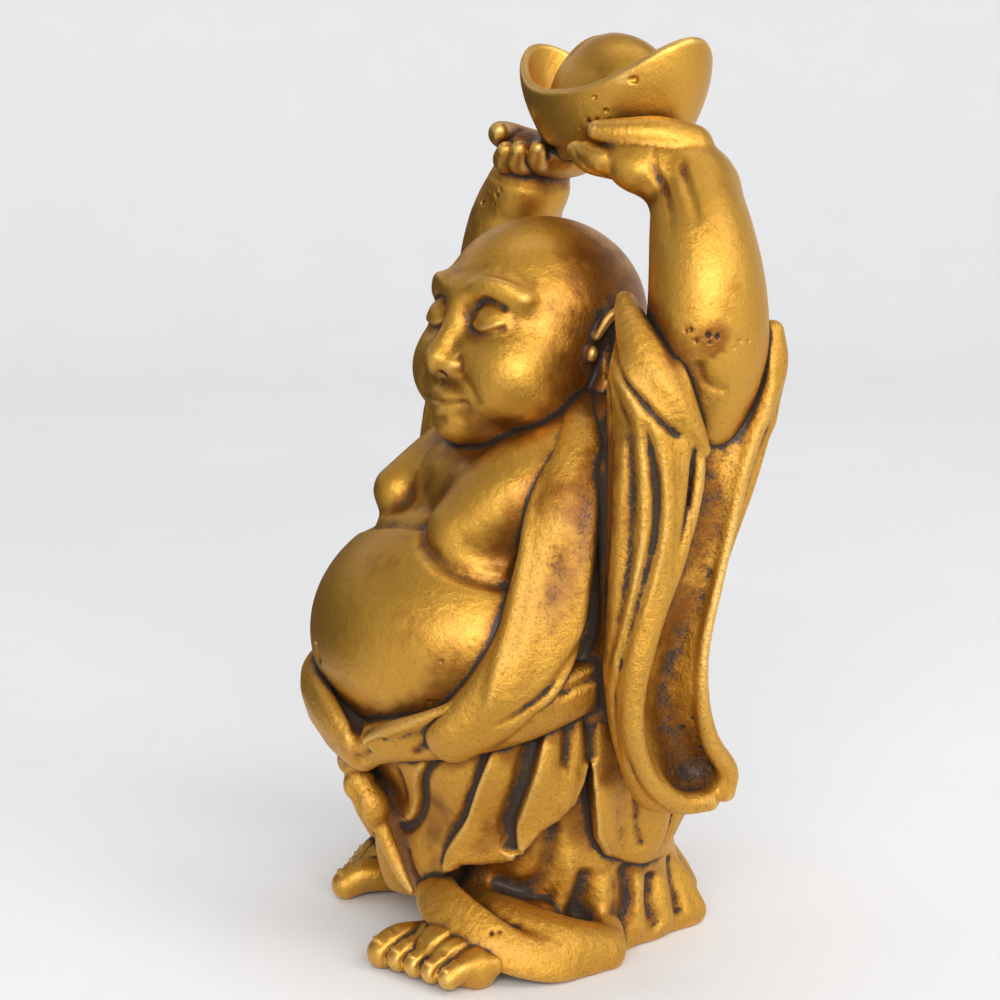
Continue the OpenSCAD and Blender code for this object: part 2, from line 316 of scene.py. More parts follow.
def ledge(clay, points, height=1.2, width=5.0, edge=0.5, fade=0.2):
    """Cloth that ends on the line. It stands proud on the side to the right of the way it is drawn,
    seen from outside, and dies away over the width."""
    line = settle(clay, smooth_curve(points))
    where, dist, place, side = along(clay, line, width + 1)
    up = 0.5 + 0.5 * np.tanh(side / edge)
    clay.d[where] -= height * up * np.exp(-(dist / width) ** 2) * ends(place, fade)


# %% [markdown]
# ## Cloth that hangs round the body
# The robe and its skirts go all the way round. They are easiest to describe from above: at each
# height, an oval. A garment here is a list of ovals, and a point on it is named by an angle round the
# statue and a height. Angle 0 is the front, and 90 is the figure's left.

# %% Ovals
def oval_at(levels, z):
    """Centre and radii (cx, cy, rx, ry) of the garment's oval at some heights."""
    t = np.array(levels, float)
    fine = smooth_curve(t, 8)
    order = np.argsort(fine[:, 0])
    return [np.interp(z, fine[order, 0], fine[order, i]) for i in range(1, 5)]


def on_oval(levels, line, proud=0.0):
    """The points of a line given as (angle, height), laid on the garment."""
    points = []
    for angle, z in line:
        cx, cy, rx, ry = oval_at(levels, z)
        s, c = math.sin(math.radians(angle)), -math.cos(math.radians(angle))
        # the angle is seen from the statue's axis, so walk out along it to the oval
        a = (s / rx) ** 2 + (c / ry) ** 2
        b = -2 * (s * cx / rx ** 2 + c * cy / ry ** 2)
        e = (cx / rx) ** 2 + (cy / ry) ** 2 - 1
        r = (-b + math.sqrt(max(b * b - 4 * a * e, 0))) / (2 * a) + proud
        points.append((r * s, r * c, z))
    return points


def drape(clay, levels, low, high, rim=1.0, fillet=0.0, folds=None):
    """A solid garment between two heights, which may be arrays that change with the angle."""
    where, (x, y, z) = clay.everywhere()
    cx, cy, rx, ry = oval_at(levels, z.ravel())
    cx, cy, rx, ry = (v.reshape(z.shape).astype(np.float32) for v in (cx, cy, rx, ry))
    u, v = x - cx, y - cy
    r = np.sqrt(u * u + v * v) + 1e-3
    q = np.sqrt((u / rx) ** 2 + (v / ry) ** 2) + 1e-4
    d = (r - r / q) * 0.95
    angle = np.degrees(np.arctan2(x + 0 * y, -y + 0 * x))
    if folds is not None:
        d = d - folds(angle, z)
    bottom = (low(angle) if callable(low) else low) - z
    d = soft_max(d, bottom * 0.9, rim)
    d = soft_max(d, (z - high) * 0.9 + 0 * d, rim)
    clay.join(where, d, fillet)


# %% [markdown]
# ## The body
# The chest and belly are bare. The belly is one big round mass that hangs over the sash, the chest
# slopes back above it, and the two breasts are soft limbs that run down from the shoulders and end in
# blunt tips. Small fillets keep a crease under each of them, where the dark wash will gather.

# %% Torso
torso = Clay((-38, -52, 31), (38, 26, 112))
mass(torso, (0, -15, 62), (35, 34, 27))
mass(torso, (0, 2, 78), (31, 22, 26), fillet=8)
mass(torso, (0, 0, 92), (27, 17, 13), fillet=6)
mass(torso, (0, -4, 47), (30, 28, 14), fillet=6)
limb(torso, [(19, 0, 97), (17.5, -12, 91), (15.4, -23, 84.8)], [13, 12, 8], fillet=4)
limb(torso, [(-18, 0, 97), (-16.5, -13, 92.5), (-15.5, -26, 88.8)], [12.5, 10, 5.6], fillet=4)
limb(torso, [(0, 0, 96), (0, 0, 104)], [15, 14], fillet=5)
mass(torso, (0, -9, 91), (17, 17, 14), fillet=5)
soften(torso, 1.8)

breast_line = [(-24, -28, 84), (-15, -33.5, 82.5), (-5, -34, 84.5), (4, -31, 86), (11, -28.5, 85.5),
               (15, -29.5, 82.5), (20, -29.5, 79.8), (25.5, -26, 78.3), (31, -20.5, 79.5), (35, -15, 84)]
groove(torso, breast_line, width=1.4, depth=1.8, fade=0.1)
groove(torso, [(-1.2, -49, 61.5), (-0.9, -49, 59.5), (-0.3, -48.6, 57.2)], width=0.75, depth=1.8)
groove(torso, [(-0.4, -26, 97), (0, -24, 93), (0.5, -26, 89)], width=2.5, depth=0.7, fade=0.4)
print("torso:", torso.d.shape)

# %% [markdown]
# ## The head
# The head is bald, with long ear lobes, and turned a little to the figure's left and up. The face is a
# calm one laid out by the usual rules of drawing: eyes halfway down, five eye widths across, the nose
# ending halfway from the eyes to the chin, and the mouth a third of the way from there. It is modelled
# upright in its own clay and then tilted into place, so those rules stay easy to see.

# %% Head
HEAD_C = np.array([0.0, -2.0, 122.0])
HEAD_TURN = turn(-10, 0, 14)
FINE = STEP * 0.8                        # finer clay for the face, hands and feet
face = Clay((-27, -30, -28), (27, 27, 28), FINE)
mass(face, (0, 1.5, 4), (20.6, 21.5, 20))
mass(face, (0, -5.5, -8.5), (18.6, 15.8, 14.5), fillet=7)
for s in (LEFT, RIGHT):
    mass(face, (s * 10, -12.6, -9), (8.4, 7, 8), fillet=5)                 # cheeks
    mass(face, (s * 14, -4, -14), (5, 8, 6), fillet=5)                      # jaw corners
mass(face, (0, -16.4, -19.2), (5.6, 4.4, 4.2), fillet=4)                    # chin
mass(face, (0, -6, -20.5), (12, 10, 5), fillet=4)                           # under the chin
limb(face, [(-14.5, -15, 6.2), (-8, -18.6, 7.4), (0, -19.6, 6), (8, -18.6, 7.4), (14.5, -15, 6.2)],
     [1.4, 1.9, 1.4, 1.9, 1.4], fillet=4)                                   # brow

# %% [markdown]
# ### Features
# The eye is a ball set in a socket, and lids are only its closed line, cut with a fine groove. Large
# forms come first, then everything is softened once, and the fine lines are cut last so that the
# softening can't take them away.

# %% Eyes, nose and mouth
EYE_X, EYE_Z, EYE_R = 8.3, 0.8, 4.6
for s in (LEFT, RIGHT):
    mass(face, (s * EYE_X, -21.2, EYE_Z + 0.6), (5.2, 3.2, 3.4), fillet=3.5, cut=True)    # socket
    mass(face, (s * EYE_X, -15.6, EYE_Z), (5.0, EYE_R, 4.2), fillet=1.0)                  # lidded eye
limb(face, [(0, -19, 6.5), (0, -20.4, 0), (0, -22, -5), (0, -22.8, -7.4)], [1.5, 1.8, 2.4, 3.0], fillet=3)
for s in (LEFT, RIGHT):
    mass(face, (s * 3.4, -20.9, -8.4), (2.2, 2.6, 1.9), fillet=1.5)         # nostril wings
limb(face, [(-6, -18.6, -14.4), (-3, -20.3, -14.6), (0, -20.9, -14.4), (3, -20.3, -14.6), (6, -18.6, -14.4)],
     [0.6, 1.1, 1.2, 1.1, 0.6], fillet=1.5)
limb(face, [(-5, -18.8, -15.7), (-2.5, -20.1, -16.7), (0, -20.5, -16.9), (2.5, -20.1, -16.7),
            (5, -18.8, -15.7)], [0.6, 1.1, 1.4, 1.1, 0.6], fillet=1.5)
soften(face, 1.0)
for s in (LEFT, RIGHT):
    lashes = [(s * 3.8, -18.6, 0.2), (s * 6, -19.9, -1.2), (s * 8.3, -20.2, -1.7), (s * 10.8, -19.5, -1.2),
              (s * 13.2, -16.8, 0.6)]
    ridge(face, [(x, y, z + 0.9) for x, y, z in lashes], width=0.7, height=0.35, fade=0.2)
    groove(face, lashes, width=0.42, depth=0.85, fade=0.1)                  # the closed line of the lids
    groove(face, [(s * 4.4, -18, 3.4), (s * 8.3, -19.2, 4.9), (s * 12.8, -16.6, 3.6)], width=0.6, depth=0.5)
    ridge(face, [(s * 2.6, -20.4, 6.4), (s * 7, -20.6, 8.8), (s * 11.5, -18.6, 9), (s * 15, -15, 6.8)],
          width=0.9, height=0.5, fade=0.35)                                 # eyebrow
    mass(face, (s * 1.8, -22.4, -10.1), (0.7, 1.0, 0.7), fillet=0.3, cut=True)            # nostril
    groove(face, [(s * 4.2, -21.5, -6.6), (s * 5.7, -20.4, -8.2), (s * 5.2, -20.4, -10)], width=0.6,
           depth=0.45)
    groove(face, [(s * 5.8, -20.2, -9.4), (s * 8.4, -18.9, -12), (s * 9.6, -17.4, -15)], width=1.2, depth=0.4)
groove(face, [(0, -21.8, -11.2), (0, -21.6, -13)], width=0.9, depth=0.2)
groove(face, [(-7.4, -17.9, -14.4), (-4, -20.4, -15.5), (0, -21.4, -15.7), (4, -20.4, -15.5),
              (7.4, -17.9, -14.4)], width=0.45, depth=0.9, fade=0.12)
groove(face, [(-3, -19.8, -18.9), (0, -20.2, -19.1), (3, -19.8, -18.9)], width=1.0, depth=0.5, fade=0.4)

# %% [markdown]
# ### Ears
# An ear is a rim bent round a dish. A chain of tapering limbs makes the rim, one cut makes the dish,
# and the long lobe is a lump of its own.

# %% Ears
for s in (LEFT, RIGHT):
    limb(face, [(s * 19.6, 2.5, 6), (s * 21.2, 4.6, 2), (s * 21.0, 4.4, -5), (s * 20.2, 2.6, -12)],
         [1.8, 2.7, 2.6, 2.6], fillet=1.6)
    mass(face, (s * 20.6, 1.6, -15), (2.2, 3.1, 4.2), fillet=1.5)           # long lobe
    mass(face, (s * 22.6, 2.0, -1.5), (1.8, 2.4, 5.2), fillet=0.8, cut=True)
    limb(face, [(s * 20.6, -0.6, 1), (s * 22.4, 1, 5.6), (s * 23, 4.6, 6.4), (s * 23.2, 6.8, 2),
                (s * 22.8, 6.2, -5), (s * 21.8, 4, -10)], [0.9, 1.1, 1.3, 1.3, 1.1, 0.9], fillet=0.7)
    limb(face, [(s * 22.2, 3.6, 3), (s * 22.2, 4.6, -1), (s * 21.8, 3.6, -5.5)], [0.8, 0.9, 0.8], fillet=0.6)
    # the small flap before the ear hole
    mass(face, (s * 20.8, -1.4, -2.4), (1.3, 1.1, 1.7), fillet=0.8)

# %% [markdown]
# ### From upright to tilted
# The upright clay is read through a rotation into a new block. Each point of the new block asks the
# old one for its distance, so nothing is modelled at an angle.

# %% Tilt the head into place and give it a neck
head = Clay((-27, -31, 90), (27, 26, 149), FINE)
where, (x, y, z) = head.everywhere()
grid = np.stack(np.broadcast_arrays(x, y, z), -1).reshape(-1, 3) - HEAD_C
head.d[where] = face.sample(grid @ HEAD_TURN).reshape(head.d.shape)
limb(head, [(0, -1, 112), (0, -1, 106)], [14.5, 14.8], fillet=4)
print("head:", head.d.shape)

# %% [markdown]
# ## The robe
# The robe lies over the shoulders, hangs down the back, and is pushed open at the front by the belly.
# Its back is a plain wall of cloth, so its folds are the whole of its interest: loops that hang from
# shoulder to shoulder, and long soft pleats below them that carry the weight down to the sash.

# %% Outer robe
ROBE = [(48, 0, 1, 36, 29.5), (60, 0, 1.5, 37, 30), (74, 0, 3, 37, 29), (88, 0, 4, 36, 26),
        (100, 0, 5, 33, 22), (108, 0, 6, 27, 17), (113, 0, 8, 19, 12)]
robe = Clay((-42, -16, 46), (42, 35, 120))
drape(robe, ROBE, 48, 113, rim=3)
for s in (LEFT, RIGHT):
    ahead = 0 if s == LEFT else 4
    limb(robe, [(s * 22, 8 - ahead, 102), (s * 31, 12 - ahead, 105)], [11, 9.5], fillet=5)
limb(robe, [(-18, 2, 109), (-12, 13.5, 113), (0, 17, 114.5), (12, 13.5, 113), (18, 2, 109)],
     [3.6, 4.2, 4.6, 4.2, 3.6], fillet=2)
for s, ahead in ((LEFT, 0), (RIGHT, 3)):
    limb(robe, mirrored([(34, 1 - ahead, 98), (37.5, 0 - ahead, 84), (39, -ahead, 70), (38.4, -ahead, 57)],
                        s), [4, 4.6, 4.6, 4], fillet=4)
groove(robe, [(-18, 8, 110), (-11, 18.5, 109), (0, 22.3, 108.5), (11, 18.5, 109), (18, 8, 110)], width=1.0,
       depth=1.2)
for sag, top in ((20, 106), (31, 102), (43, 98)):
    loop = on_oval(ROBE, [(180 - 62, top), (180 - 42, top - sag * 0.62), (180 - 20, top - sag * 0.93),
                          (180, top - sag), (180 + 20, top - sag * 0.93), (180 + 42, top - sag * 0.62),
                          (180 + 62, top)])
    ridge(robe, loop, width=2.6, height=1.3, fade=0.2)
    groove(robe, [(px, py, pz - 3.4) for px, py, pz in loop], width=1.2, depth=1.1, fade=0.2)
for angle, lean, top in ((113, 11, 84), (127, 9, 76), (141, 10, 66), (153, 5, 70), (166, 5, 58),
                         (179, -1, 63), (193, -2, 57), (205, -7, 69), (219, -8, 64), (232, -12, 78),
                         (246, -9, 82)):
    pleat = [(angle + lean, top), (angle + 0.5 * lean, 0.5 * top + 25), (angle, 47)]
    ridge(robe, on_oval(ROBE, pleat), width=2.6, height=1.3, fade=0.4)
    groove(robe, on_oval(ROBE, [(a + 5.5, z) for a, z in pleat]), width=1.1, depth=0.9, fade=0.4)
for s, ahead in ((LEFT, 0), (RIGHT, 3)):
    groove(robe, [(s * 36, -6, 88), (s * 37.5, -6, 78), (s * 38, -7, 70), (s * 37.5, -9, 62)], width=1.1,
           depth=0.9)
print("robe:", robe.d.shape)

# %% [markdown]
# ## Lapels
# The two edges of the robe frame the belly. Each is a padded band that runs from the side of the neck
# down round the belly and tucks into the sash. A fold turns up at its lower end like a shallow pocket.
# A strap fits this well, because its flat side can keep facing outwards as it goes round.

# %% Lapels
LAPEL = [(18, 1, 108, -20, -25, 5.5, 3.4), (26, -3, 101, 0, -30, 6.4, 4), (31, -9, 90, 0, -30, 7, 4),
         (34, -13, 77, 5, -30, 7.6, 4), (35, -17, 66, 14, -38, 7.8, 4.2),
         (34.2, -23.5, 56.5, 22, -46, 7.2, 4.6), (30.4, -31.5, 49, 28, -54, 5.2, 4.4)]


def make_lapel(s):
    clay = Clay((11, -42, 41) if s == LEFT else (-44, -42, 41), (44, 9, 116) if s == LEFT else (-11, 9, 116))
    stations = [(s * x, y, z, lean * s, heading * s, w, t) for x, y, z, lean, heading, w, t in LAPEL]
    strap(clay, stations)
    soften(clay, 1.6)
    outer = [(33.6, -3.6, 98), (37, -5.8, 88), (39.4, -8.2, 78), (40.2, -10.2, 69), (40.2, -13.5, 60),
             (39, -19, 54)]
    inner = [(26.4, -9.4, 103), (30, -13, 92), (33.4, -17.6, 80), (35.4, -21, 68), (36.4, -25, 58),
             (34.6, -28.4, 51)]
    ridge(clay, mirrored(outer, s), width=1.5, height=0.9, fade=0.15)
    ridge(clay, mirrored(inner, s), width=1.3, height=0.7, fade=0.15)
    middle = [(0.5 * (a[0] + b[0]) + 1, 0.5 * (a[1] + b[1]) - 1, 0.5 * (a[2] + b[2])) for a,
              b in zip(inner, outer)]
    groove(clay, mirrored(middle[1:], s), width=3.0, depth=0.8, fade=0.3)
    pocket = [(38.6, -7.5, 74), (40.6, -11, 66), (40.2, -16, 59), (38, -22, 55.5), (35, -27, 53)]
    groove(clay, mirrored(pocket, s), width=0.8, depth=1.2, fade=0.2)
    return clay


left_lapel, right_lapel = make_lapel(LEFT), make_lapel(RIGHT)
print("lapel:", left_lapel.d.shape)

# %% [markdown]
# ## Sash and knot
# The sash carries the belly. At the front its upper edge rolls over and sags into a V, and from there
# a flatter band climbs back round the hip. The roll and the band are two straps, and the folds where
# they pinch together are cut deep. The knot hangs below the V, with two tails.

# %% Sash
sash = Clay((-43, -52, 32), (43, 7, 70))
SASH = [(34.4, -2, 58.5, 10, 0, 5, 3), (35, -14, 55.5, 15, -22, 6.2, 3.6), (33, -23, 52.5, 18, -38, 6.2, 4),
        (27, -32, 49, 20, -50, 5.4, 4), (17, -39.5, 45.5, 24, -66, 4.4, 4), (9, -43, 42.5, 28, -80, 4.2, 4)]
strap(sash, SASH)
ROLL = [(10, -43, 42, 30, -78, 4.2, 3.8), (3, -45.5, 45, 26, -86, 6.4, 4), (-7, -45.5, 48, 22, -100, 7, 4),
        (-18, -40.5, 49.5, 22, -116, 7.2, 4), (-29, -30, 51.5, 20, -136, 7, 4),
        (-35.5, -17, 55.5, 15, -155, 6.8, 3.8), (-34.6, -2, 58.5, 10, -180, 5, 3)]
strap(sash, ROLL, fillet=1.2)
soften(sash, 1.6)
brim = [(-24, -37.5, 56), (-14, -44, 54.8), (-5, -47.6, 53.2), (2, -48.4, 51.6), (7.5, -47.6, 48.4),
        (11.5, -46, 45), (14.5, -45, 44.2), (18.5, -43.8, 46.5), (23, -41.6, 49.4), (28, -37.6, 52),
        (32, -32.6, 55), (35.4, -27, 60)]
limb(sash, brim, [0.9, 1.4, 1.7, 1.8, 1.7, 1.5, 1.3, 1.3, 1.4, 1.3, 1.1, 0.8], fillet=1.5)
groove(sash, [(x * 0.93, y * 0.955, z - 0.4) for x, y, z in brim[1:11]], width=0.9, depth=2.0, fade=0.1)
groove(sash, [(12.4, -46.6, 38), (14.6, -46, 42), (19, -44.2, 45.6), (23, -42, 47.6)], width=0.8, depth=1.3)
groove(sash, [(31.6, -34, 53.5), (31, -35.6, 49.6), (28.6, -37.4, 46), (25.4, -39, 43.4)], width=0.9,
       depth=1.3)
groove(sash, [(37.4, -24, 62), (37.4, -26, 57.5), (35.6, -29.4, 53), (32.6, -32.8, 48)], width=1.2,
       depth=2.4, fade=0.12)
groove(sash, [(39.6, -18, 57), (37.4, -24, 52.4), (33.6, -31, 47.6)], width=0.7, depth=0.8)
ridge(sash, [(-2, -50, 43), (-12, -46.6, 44), (-22, -39.5, 46), (-32, -28, 49)], width=2.2, height=0.8)
groove(sash, [(-8, -49.6, 50.6), (-18, -44.6, 51.4), (-29, -33.6, 53.4), (-37, -20, 58)], width=1.0,
       depth=1.2)
groove(sash, [(2, -49.8, 41), (-8, -48.4, 41.6), (-18, -42.6, 43), (-28, -34, 45.4)], width=0.9, depth=0.9)
for s in (LEFT, RIGHT):
    groove(sash, mirrored([(41.2, -14, 57), (41.6, -6, 60), (41, 1, 62)], s), width=0.8, depth=0.7)

# %% [markdown]
# ### Knot
# The knot is two lumps with a long tail and a short one, and grooves where one turn passes over
# another. It lies close to the skirt, because a cast figure can't have a thin loose end.

# %% Knot
knot = Clay((-8, -50, 8), (14, -30, 43))
mass(knot, (1.4, -42.4, 37.4), (4.6, 3.2, 3.6))
mass(knot, (3.4, -41.6, 32.6), (3.2, 3.4, 3.8), fillet=0.5)
limb(knot, [(3.4, -41.4, 33), (5.6, -39.8, 28.6), (5.2, -38.6, 25)], [2.4, 3.4, 2.2], fillet=0.4)
limb(knot, [(5.6, -38.6, 26), (7.4, -37, 20.5), (10, -35, 14.5), (11.6, -33.6, 11.4)], [1.8, 1.7, 1.3, 0.7],
     fillet=0.4)
limb(knot, [(0.4, -41.6, 35), (-2.2, -40, 30), (-1.8, -38.2, 25), (-3.4, -36.6, 20)], [2.2, 2.8, 2.4, 1.2],
     fillet=0.4)
groove(knot, [(-2.4, -45.6, 39), (1.4, -46.2, 36.2), (5, -45, 37.4)], width=0.6, depth=0.9)
groove(knot, [(4.6, -45, 33.6), (6.8, -43.6, 29.6), (5.8, -41.2, 25)], width=0.6, depth=1.0)
groove(knot, [(-1.4, -44.6, 33), (-2.8, -43, 29.4), (-2.2, -40.8, 25)], width=0.6, depth=0.9)

# %% [markdown]
# ## Skirts
# Below the sash the cloth hangs in two layers. The upper one has a lively hem: it dips low at the
# front, lifts on the hip, folds back on itself and parts in a notch, and then falls again towards the
# back. A hem like that is one number, a height, that changes with the angle round the statue.

# %% Overskirt
OVER = [(6, 0, -7, 22, 24), (9, 0, -7, 25, 26.5), (17, 0, -4.5, 32.6, 30.8), (30, 0, -3, 35.2, 32.6),
        (42, 0, -5, 36, 36), (54, 0, -1, 35.5, 33), (60, 0, 1, 35, 30.5)]
HEM = [(-180, 15.5), (-165, 17), (-150, 15), (-135, 17.5), (-122, 16), (-108, 17.5), (-96, 21), (-88, 26),
       (-84, 38), (-80, 37), (-74, 31), (-64, 27), (-56, 22), (-46, 19), (-36, 16), (-26, 10), (-12, 7.4),
       (0, 7), (10, 7), (17, 7.4), (24, 8.4), (29, 10.6), (32, 14.4), (36, 19.4), (41, 21.6), (47, 20.4),
       (53, 20.4), (57, 21.2), (60, 23.5), (62, 27), (66, 29.4), (72, 30.8), (77, 33.4), (80, 38), (82, 43),
       (83.4, 34), (85, 26), (90, 21.4), (99, 18.6), (108, 17.2), (118, 15.8), (127, 15), (140, 17),
       (152, 15), (166, 17), (180, 15.5)]
HEM_ANGLE, HEM_Z = np.array(HEM, float).T


def hem(angle):
    return np.interp(angle, HEM_ANGLE, HEM_Z).astype(np.float32)


def skirt_folds(angle, z):
    """Soft swells that fan out downwards, in mm."""
    fall = np.clip((52 - z) / 35, 0, 1)
    return fall * (0.9 * np.cos(np.radians(angle * 9 + 40)) + 0.5 * np.cos(np.radians(angle * 17 + 10)))


overskirt = Clay((-38, -43, 4), (38, 34, 58))
drape(overskirt, OVER, hem, 60, rim=1.6, folds=skirt_folds)


def skirt_line(tool, line, mirror=True, **shape):
    tool(overskirt, on_oval(OVER, line), **shape)
    if mirror:
        tool(overskirt, on_oval(OVER, [(-a - 4, z) for a, z in line]), **shape)


skirt_line(groove, [(38, 45), (31, 38), (27, 32), (22, 27), (15, 24), (8, 23.4)], width=1.0, depth=1.6,
           fade=0.12)
skirt_line(ledge, [(38, 45), (31, 38), (27, 32), (22, 27), (15, 24)], height=1.4, width=5, edge=0.5)
skirt_line(ledge, [(33, 17), (37, 23.4), (43, 30), (47, 36), (51, 43), (55, 51)], height=2.0, width=5,
           edge=0.4, fade=0.1)
skirt_line(groove, [(54, 51), (50, 43), (46, 36), (42, 30), (36, 23.4), (32, 18)], width=0.9, depth=1.3,
           fade=0.12)
skirt_line(ledge, [(60, 21), (58.5, 26), (58.5, 30), (60.5, 34), (63.5, 40), (66, 48), (68, 57)],
           height=2.4, width=6, edge=0.5, fade=0.1)
skirt_line(groove, [(67, 56), (64.5, 48), (61.5, 40), (58.5, 34), (56.5, 30), (56.5, 26), (58, 21)],
           width=1.7, depth=3.6, fade=0.1)
skirt_line(groove, [(75, 54), (73.6, 47), (73, 41)], width=1.2, depth=1.4, fade=0.25)
skirt_line(groove, [(82, 54), (81.6, 48), (82, 41)], width=1.1, depth=2.2, fade=0.15)
skirt_line(ridge, [(76, 42), (74, 36), (71, 32)], width=1.6, height=0.9)
skirt_line(ridge, [(89, 40), (88, 33), (90, 26), (95, 21.6)], width=2.2, height=1.2)
skirt_line(groove, [(100, 36), (101, 28), (105, 21)], width=1.0, depth=1.0)
skirt_line(groove, [(14, 20), (18, 15.5), (22, 13.4)], width=1.0, depth=0.9)
skirt_line(groove, [(22, 40), (20, 34), (16, 29)], width=1.2, depth=0.9, fade=0.3)
for angle, lean, top in ((112, 5, 44), (123, 7, 52), (137, 3, 40), (148, 6, 50), (163, 2, 45), (175, 3, 53),
                         (190, -2, 41), (201, -3, 51), (216, -6, 46), (228, -4, 53), (243, -7, 43)):
    pleat = [(angle + lean, top), (angle + 0.4 * lean, 0.5 * top + 10), (angle - 0.3 * lean, 18)]
    skirt_line(ridge, pleat, mirror=False, width=2.6, height=1.5)
    skirt_line(groove, [(a + 6, z - 2) for a, z in pleat], mirror=False, width=1.1, depth=1.2, fade=0.35)
print("overskirt:", overskirt.d.shape)

# %% [markdown]
# ### The lower layer
# The lower layer flares into bold folds where it meets the ground. A wave in the radius makes the
# large ones and grooves sharpen them. A rolled cuff of straps runs over each foot.

# %% Underskirt
UNDER = [(-2, 0, 4, 30.5, 29.4), (0, 0, 4, 30.5, 29.4), (3, 0, 4, 31, 29.5), (8, 0, 2.4, 30.6, 28.4),
         (14, 0, 0.5, 30.4, 27), (28, 0, -2, 31, 28.4), (46, 0, -3, 30.4, 29)]


def flare(angle, z):
    """The lower robe breaks into bold folds where it meets the ground."""
    near_ground = np.clip((20 - z) / 20, 0, 1) ** 1.3
    return near_ground * (1.3 * np.cos(np.radians(angle * 8 - 30)) + 0.6
                          * np.cos(np.radians(angle * 15 + 60)))


underskirt = Clay((-44, -36, -1), (44, 36, 46))
drape(underskirt, UNDER, 0, 45, rim=0.7, folds=flare)
CUFF = [(4, -26, 10, -30, -88, 3, 1.6), (14, -29.6, 12.6, -42, -75, 4.2, 1.7),
        (24, -31.4, 12.8, -42, -58, 4.8, 1.8), (31.5, -28.8, 10.2, -38, -42, 5, 1.8),
        (37, -22.5, 6.6, -32, -26, 4.4, 1.6), (39.6, -14.5, 4, -25, -8, 3.8, 1.6),
        (38, -6, 2.4, -20, 0, 2.6, 1.6)]
for s, ahead in ((LEFT, 0), (RIGHT, -4)):
    limb(underskirt, mirrored([(18, -21, 9), (28, -19, 7.6), (34.4, -11, 5.4), (34.6, -2, 3)], s),
         [5.4, 5.8, 5.6, 5], fillet=4)
    strap(underskirt, [(s * x, y - ahead, z, lean * s, h if s == LEFT else 180 - h, w, t) for x, y, z, lean,
                       h, w, t in CUFF], fillet=1.5)
    for line in ([(71, 30), (69, 22), (66.5, 17.4), (61, 14.8), (53, 14.4), (45, 15.4)],
                 [(84, 19), (80.5, 11.4), (81.5, 6), (84, 2)],
                 [(100, 19), (101.5, 12), (98, 6), (99, 1)], [(134, 16), (130.5, 9.4), (128, 3)],
                 [(152, 15), (150, 9), (153, 2)], [(170, 15), (172, 9), (169, 2)],
                 [(116, 15), (113, 9), (115, 2)]):
        groove(underskirt, on_oval(UNDER, [(s * a, z) for a, z in line], proud=0.8), width=1.6, depth=1.8,
               fade=0.12)
    for line in ([(78, 24), (76, 15), (72, 8), (68, 3)], [(91, 18), (90, 9), (91, 2)],
                 [(107, 16), (106, 8), (107, 1)], [(123, 14), (121, 7), (122, 1)],
                 [(142, 14), (140, 7), (141, 1)], [(161, 14), (162, 7), (161, 1)]):
        ridge(underskirt, on_oval(UNDER, [(s * a, z) for a, z in line], proud=0.6), width=1.5, height=1.4,
              fade=0.25)
where, (x, y, z) = underskirt.everywhere()
underskirt.cut(where, z + 0 * x + 0 * y, 0.4)                               # flat on the ground
underskirt.cut(where, np.maximum(np.sqrt(x * x + y * y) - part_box("base_plug")[1].x / MM, z - 4) + 0 * z)
print("underskirt:", underskirt.d.shape)

# %% [markdown]
# ## Feet
# Bare feet stick out under the hem, turned out. Each has a broad instep and five stubby toes with
# nails. A toe is a short limb with a small fillet, and a nail is a shallow dent round a flat scale.

# %% Feet
def make_foot(s):
    x0, y0, splay = (27.3, -21.5, 5) if s == LEFT else (-23, -16, 12)
    c, n = math.cos(math.radians(splay * s)), math.sin(math.radians(splay * s))

    def put(x, y, z):
        """From the foot's own frame, toes along -y and big toe at low x, to the statue's."""
        return x0 + c * x * s - n * y, y0 + n * x * s + c * y, z

    clay = Clay((x0 - 18, y0 - 30, -1), (x0 + 18, y0 + 19, 19), FINE)
    limb(clay, [put(0, 9, 6), put(-0.5, -2, 5.8), put(-1, -10, 4.8)], [6.4, 6.4, 5.8], fillet=1)
    limb(clay, [put(-6, -9.5, 4.8), put(0, -11.5, 4.6), put(7.4, -8, 3.8)], [5, 5.6, 4.6], fillet=3)
    soften(clay, 2)
    for i in range(5):
        r = 3.5 if i == 0 else 2.85 - 0.12 * i
        x = -8.8 + 4.35 * i + (0 if i == 0 else 0.3)
        y = -20.4 + 1.5 * i
        limb(clay, [put(x + 0.5, y + 9, 4.6), put(x, y + 3.4, 4.7), put(x - 0.2, y, 3.1)],
             [r, r * 1.02, r * 0.92], fillet=0.4)
        mass(clay, put(x - 0.2, y - 0.3, 3.2 + r * 0.56), (r * 0.55, r * 0.6, r * 0.28), fillet=0.15,
             turned=turn(-35, 0, splay * s))                                # nail
        groove(clay, [put(x - 0.6 * r, y + 2.2, 4.7 + 0.8 * r), put(x, y + 1.8, 4.5 + r),
                      put(x + 0.6 * r, y + 2.2, 4.7 + 0.8 * r)], width=0.35, depth=0.45)
        if i < 4:
            gap = x + 2.15 + (0.25 if i == 0 else 0)
            groove(clay, [put(gap + 0.3, y + 8, 7.6), put(gap, y + 4, 6.4), put(gap, y, 4),
                          put(gap, y - 1, 1.5)], width=0.6, depth=1.2, fade=0.2)
    where, (x, y, z) = clay.everywhere()
    clay.cut(where, z + 0 * x + 0 * y, 0.6)
    return clay


left_foot, right_foot = make_foot(LEFT), make_foot(RIGHT)
print("foot:", left_foot.d.shape)

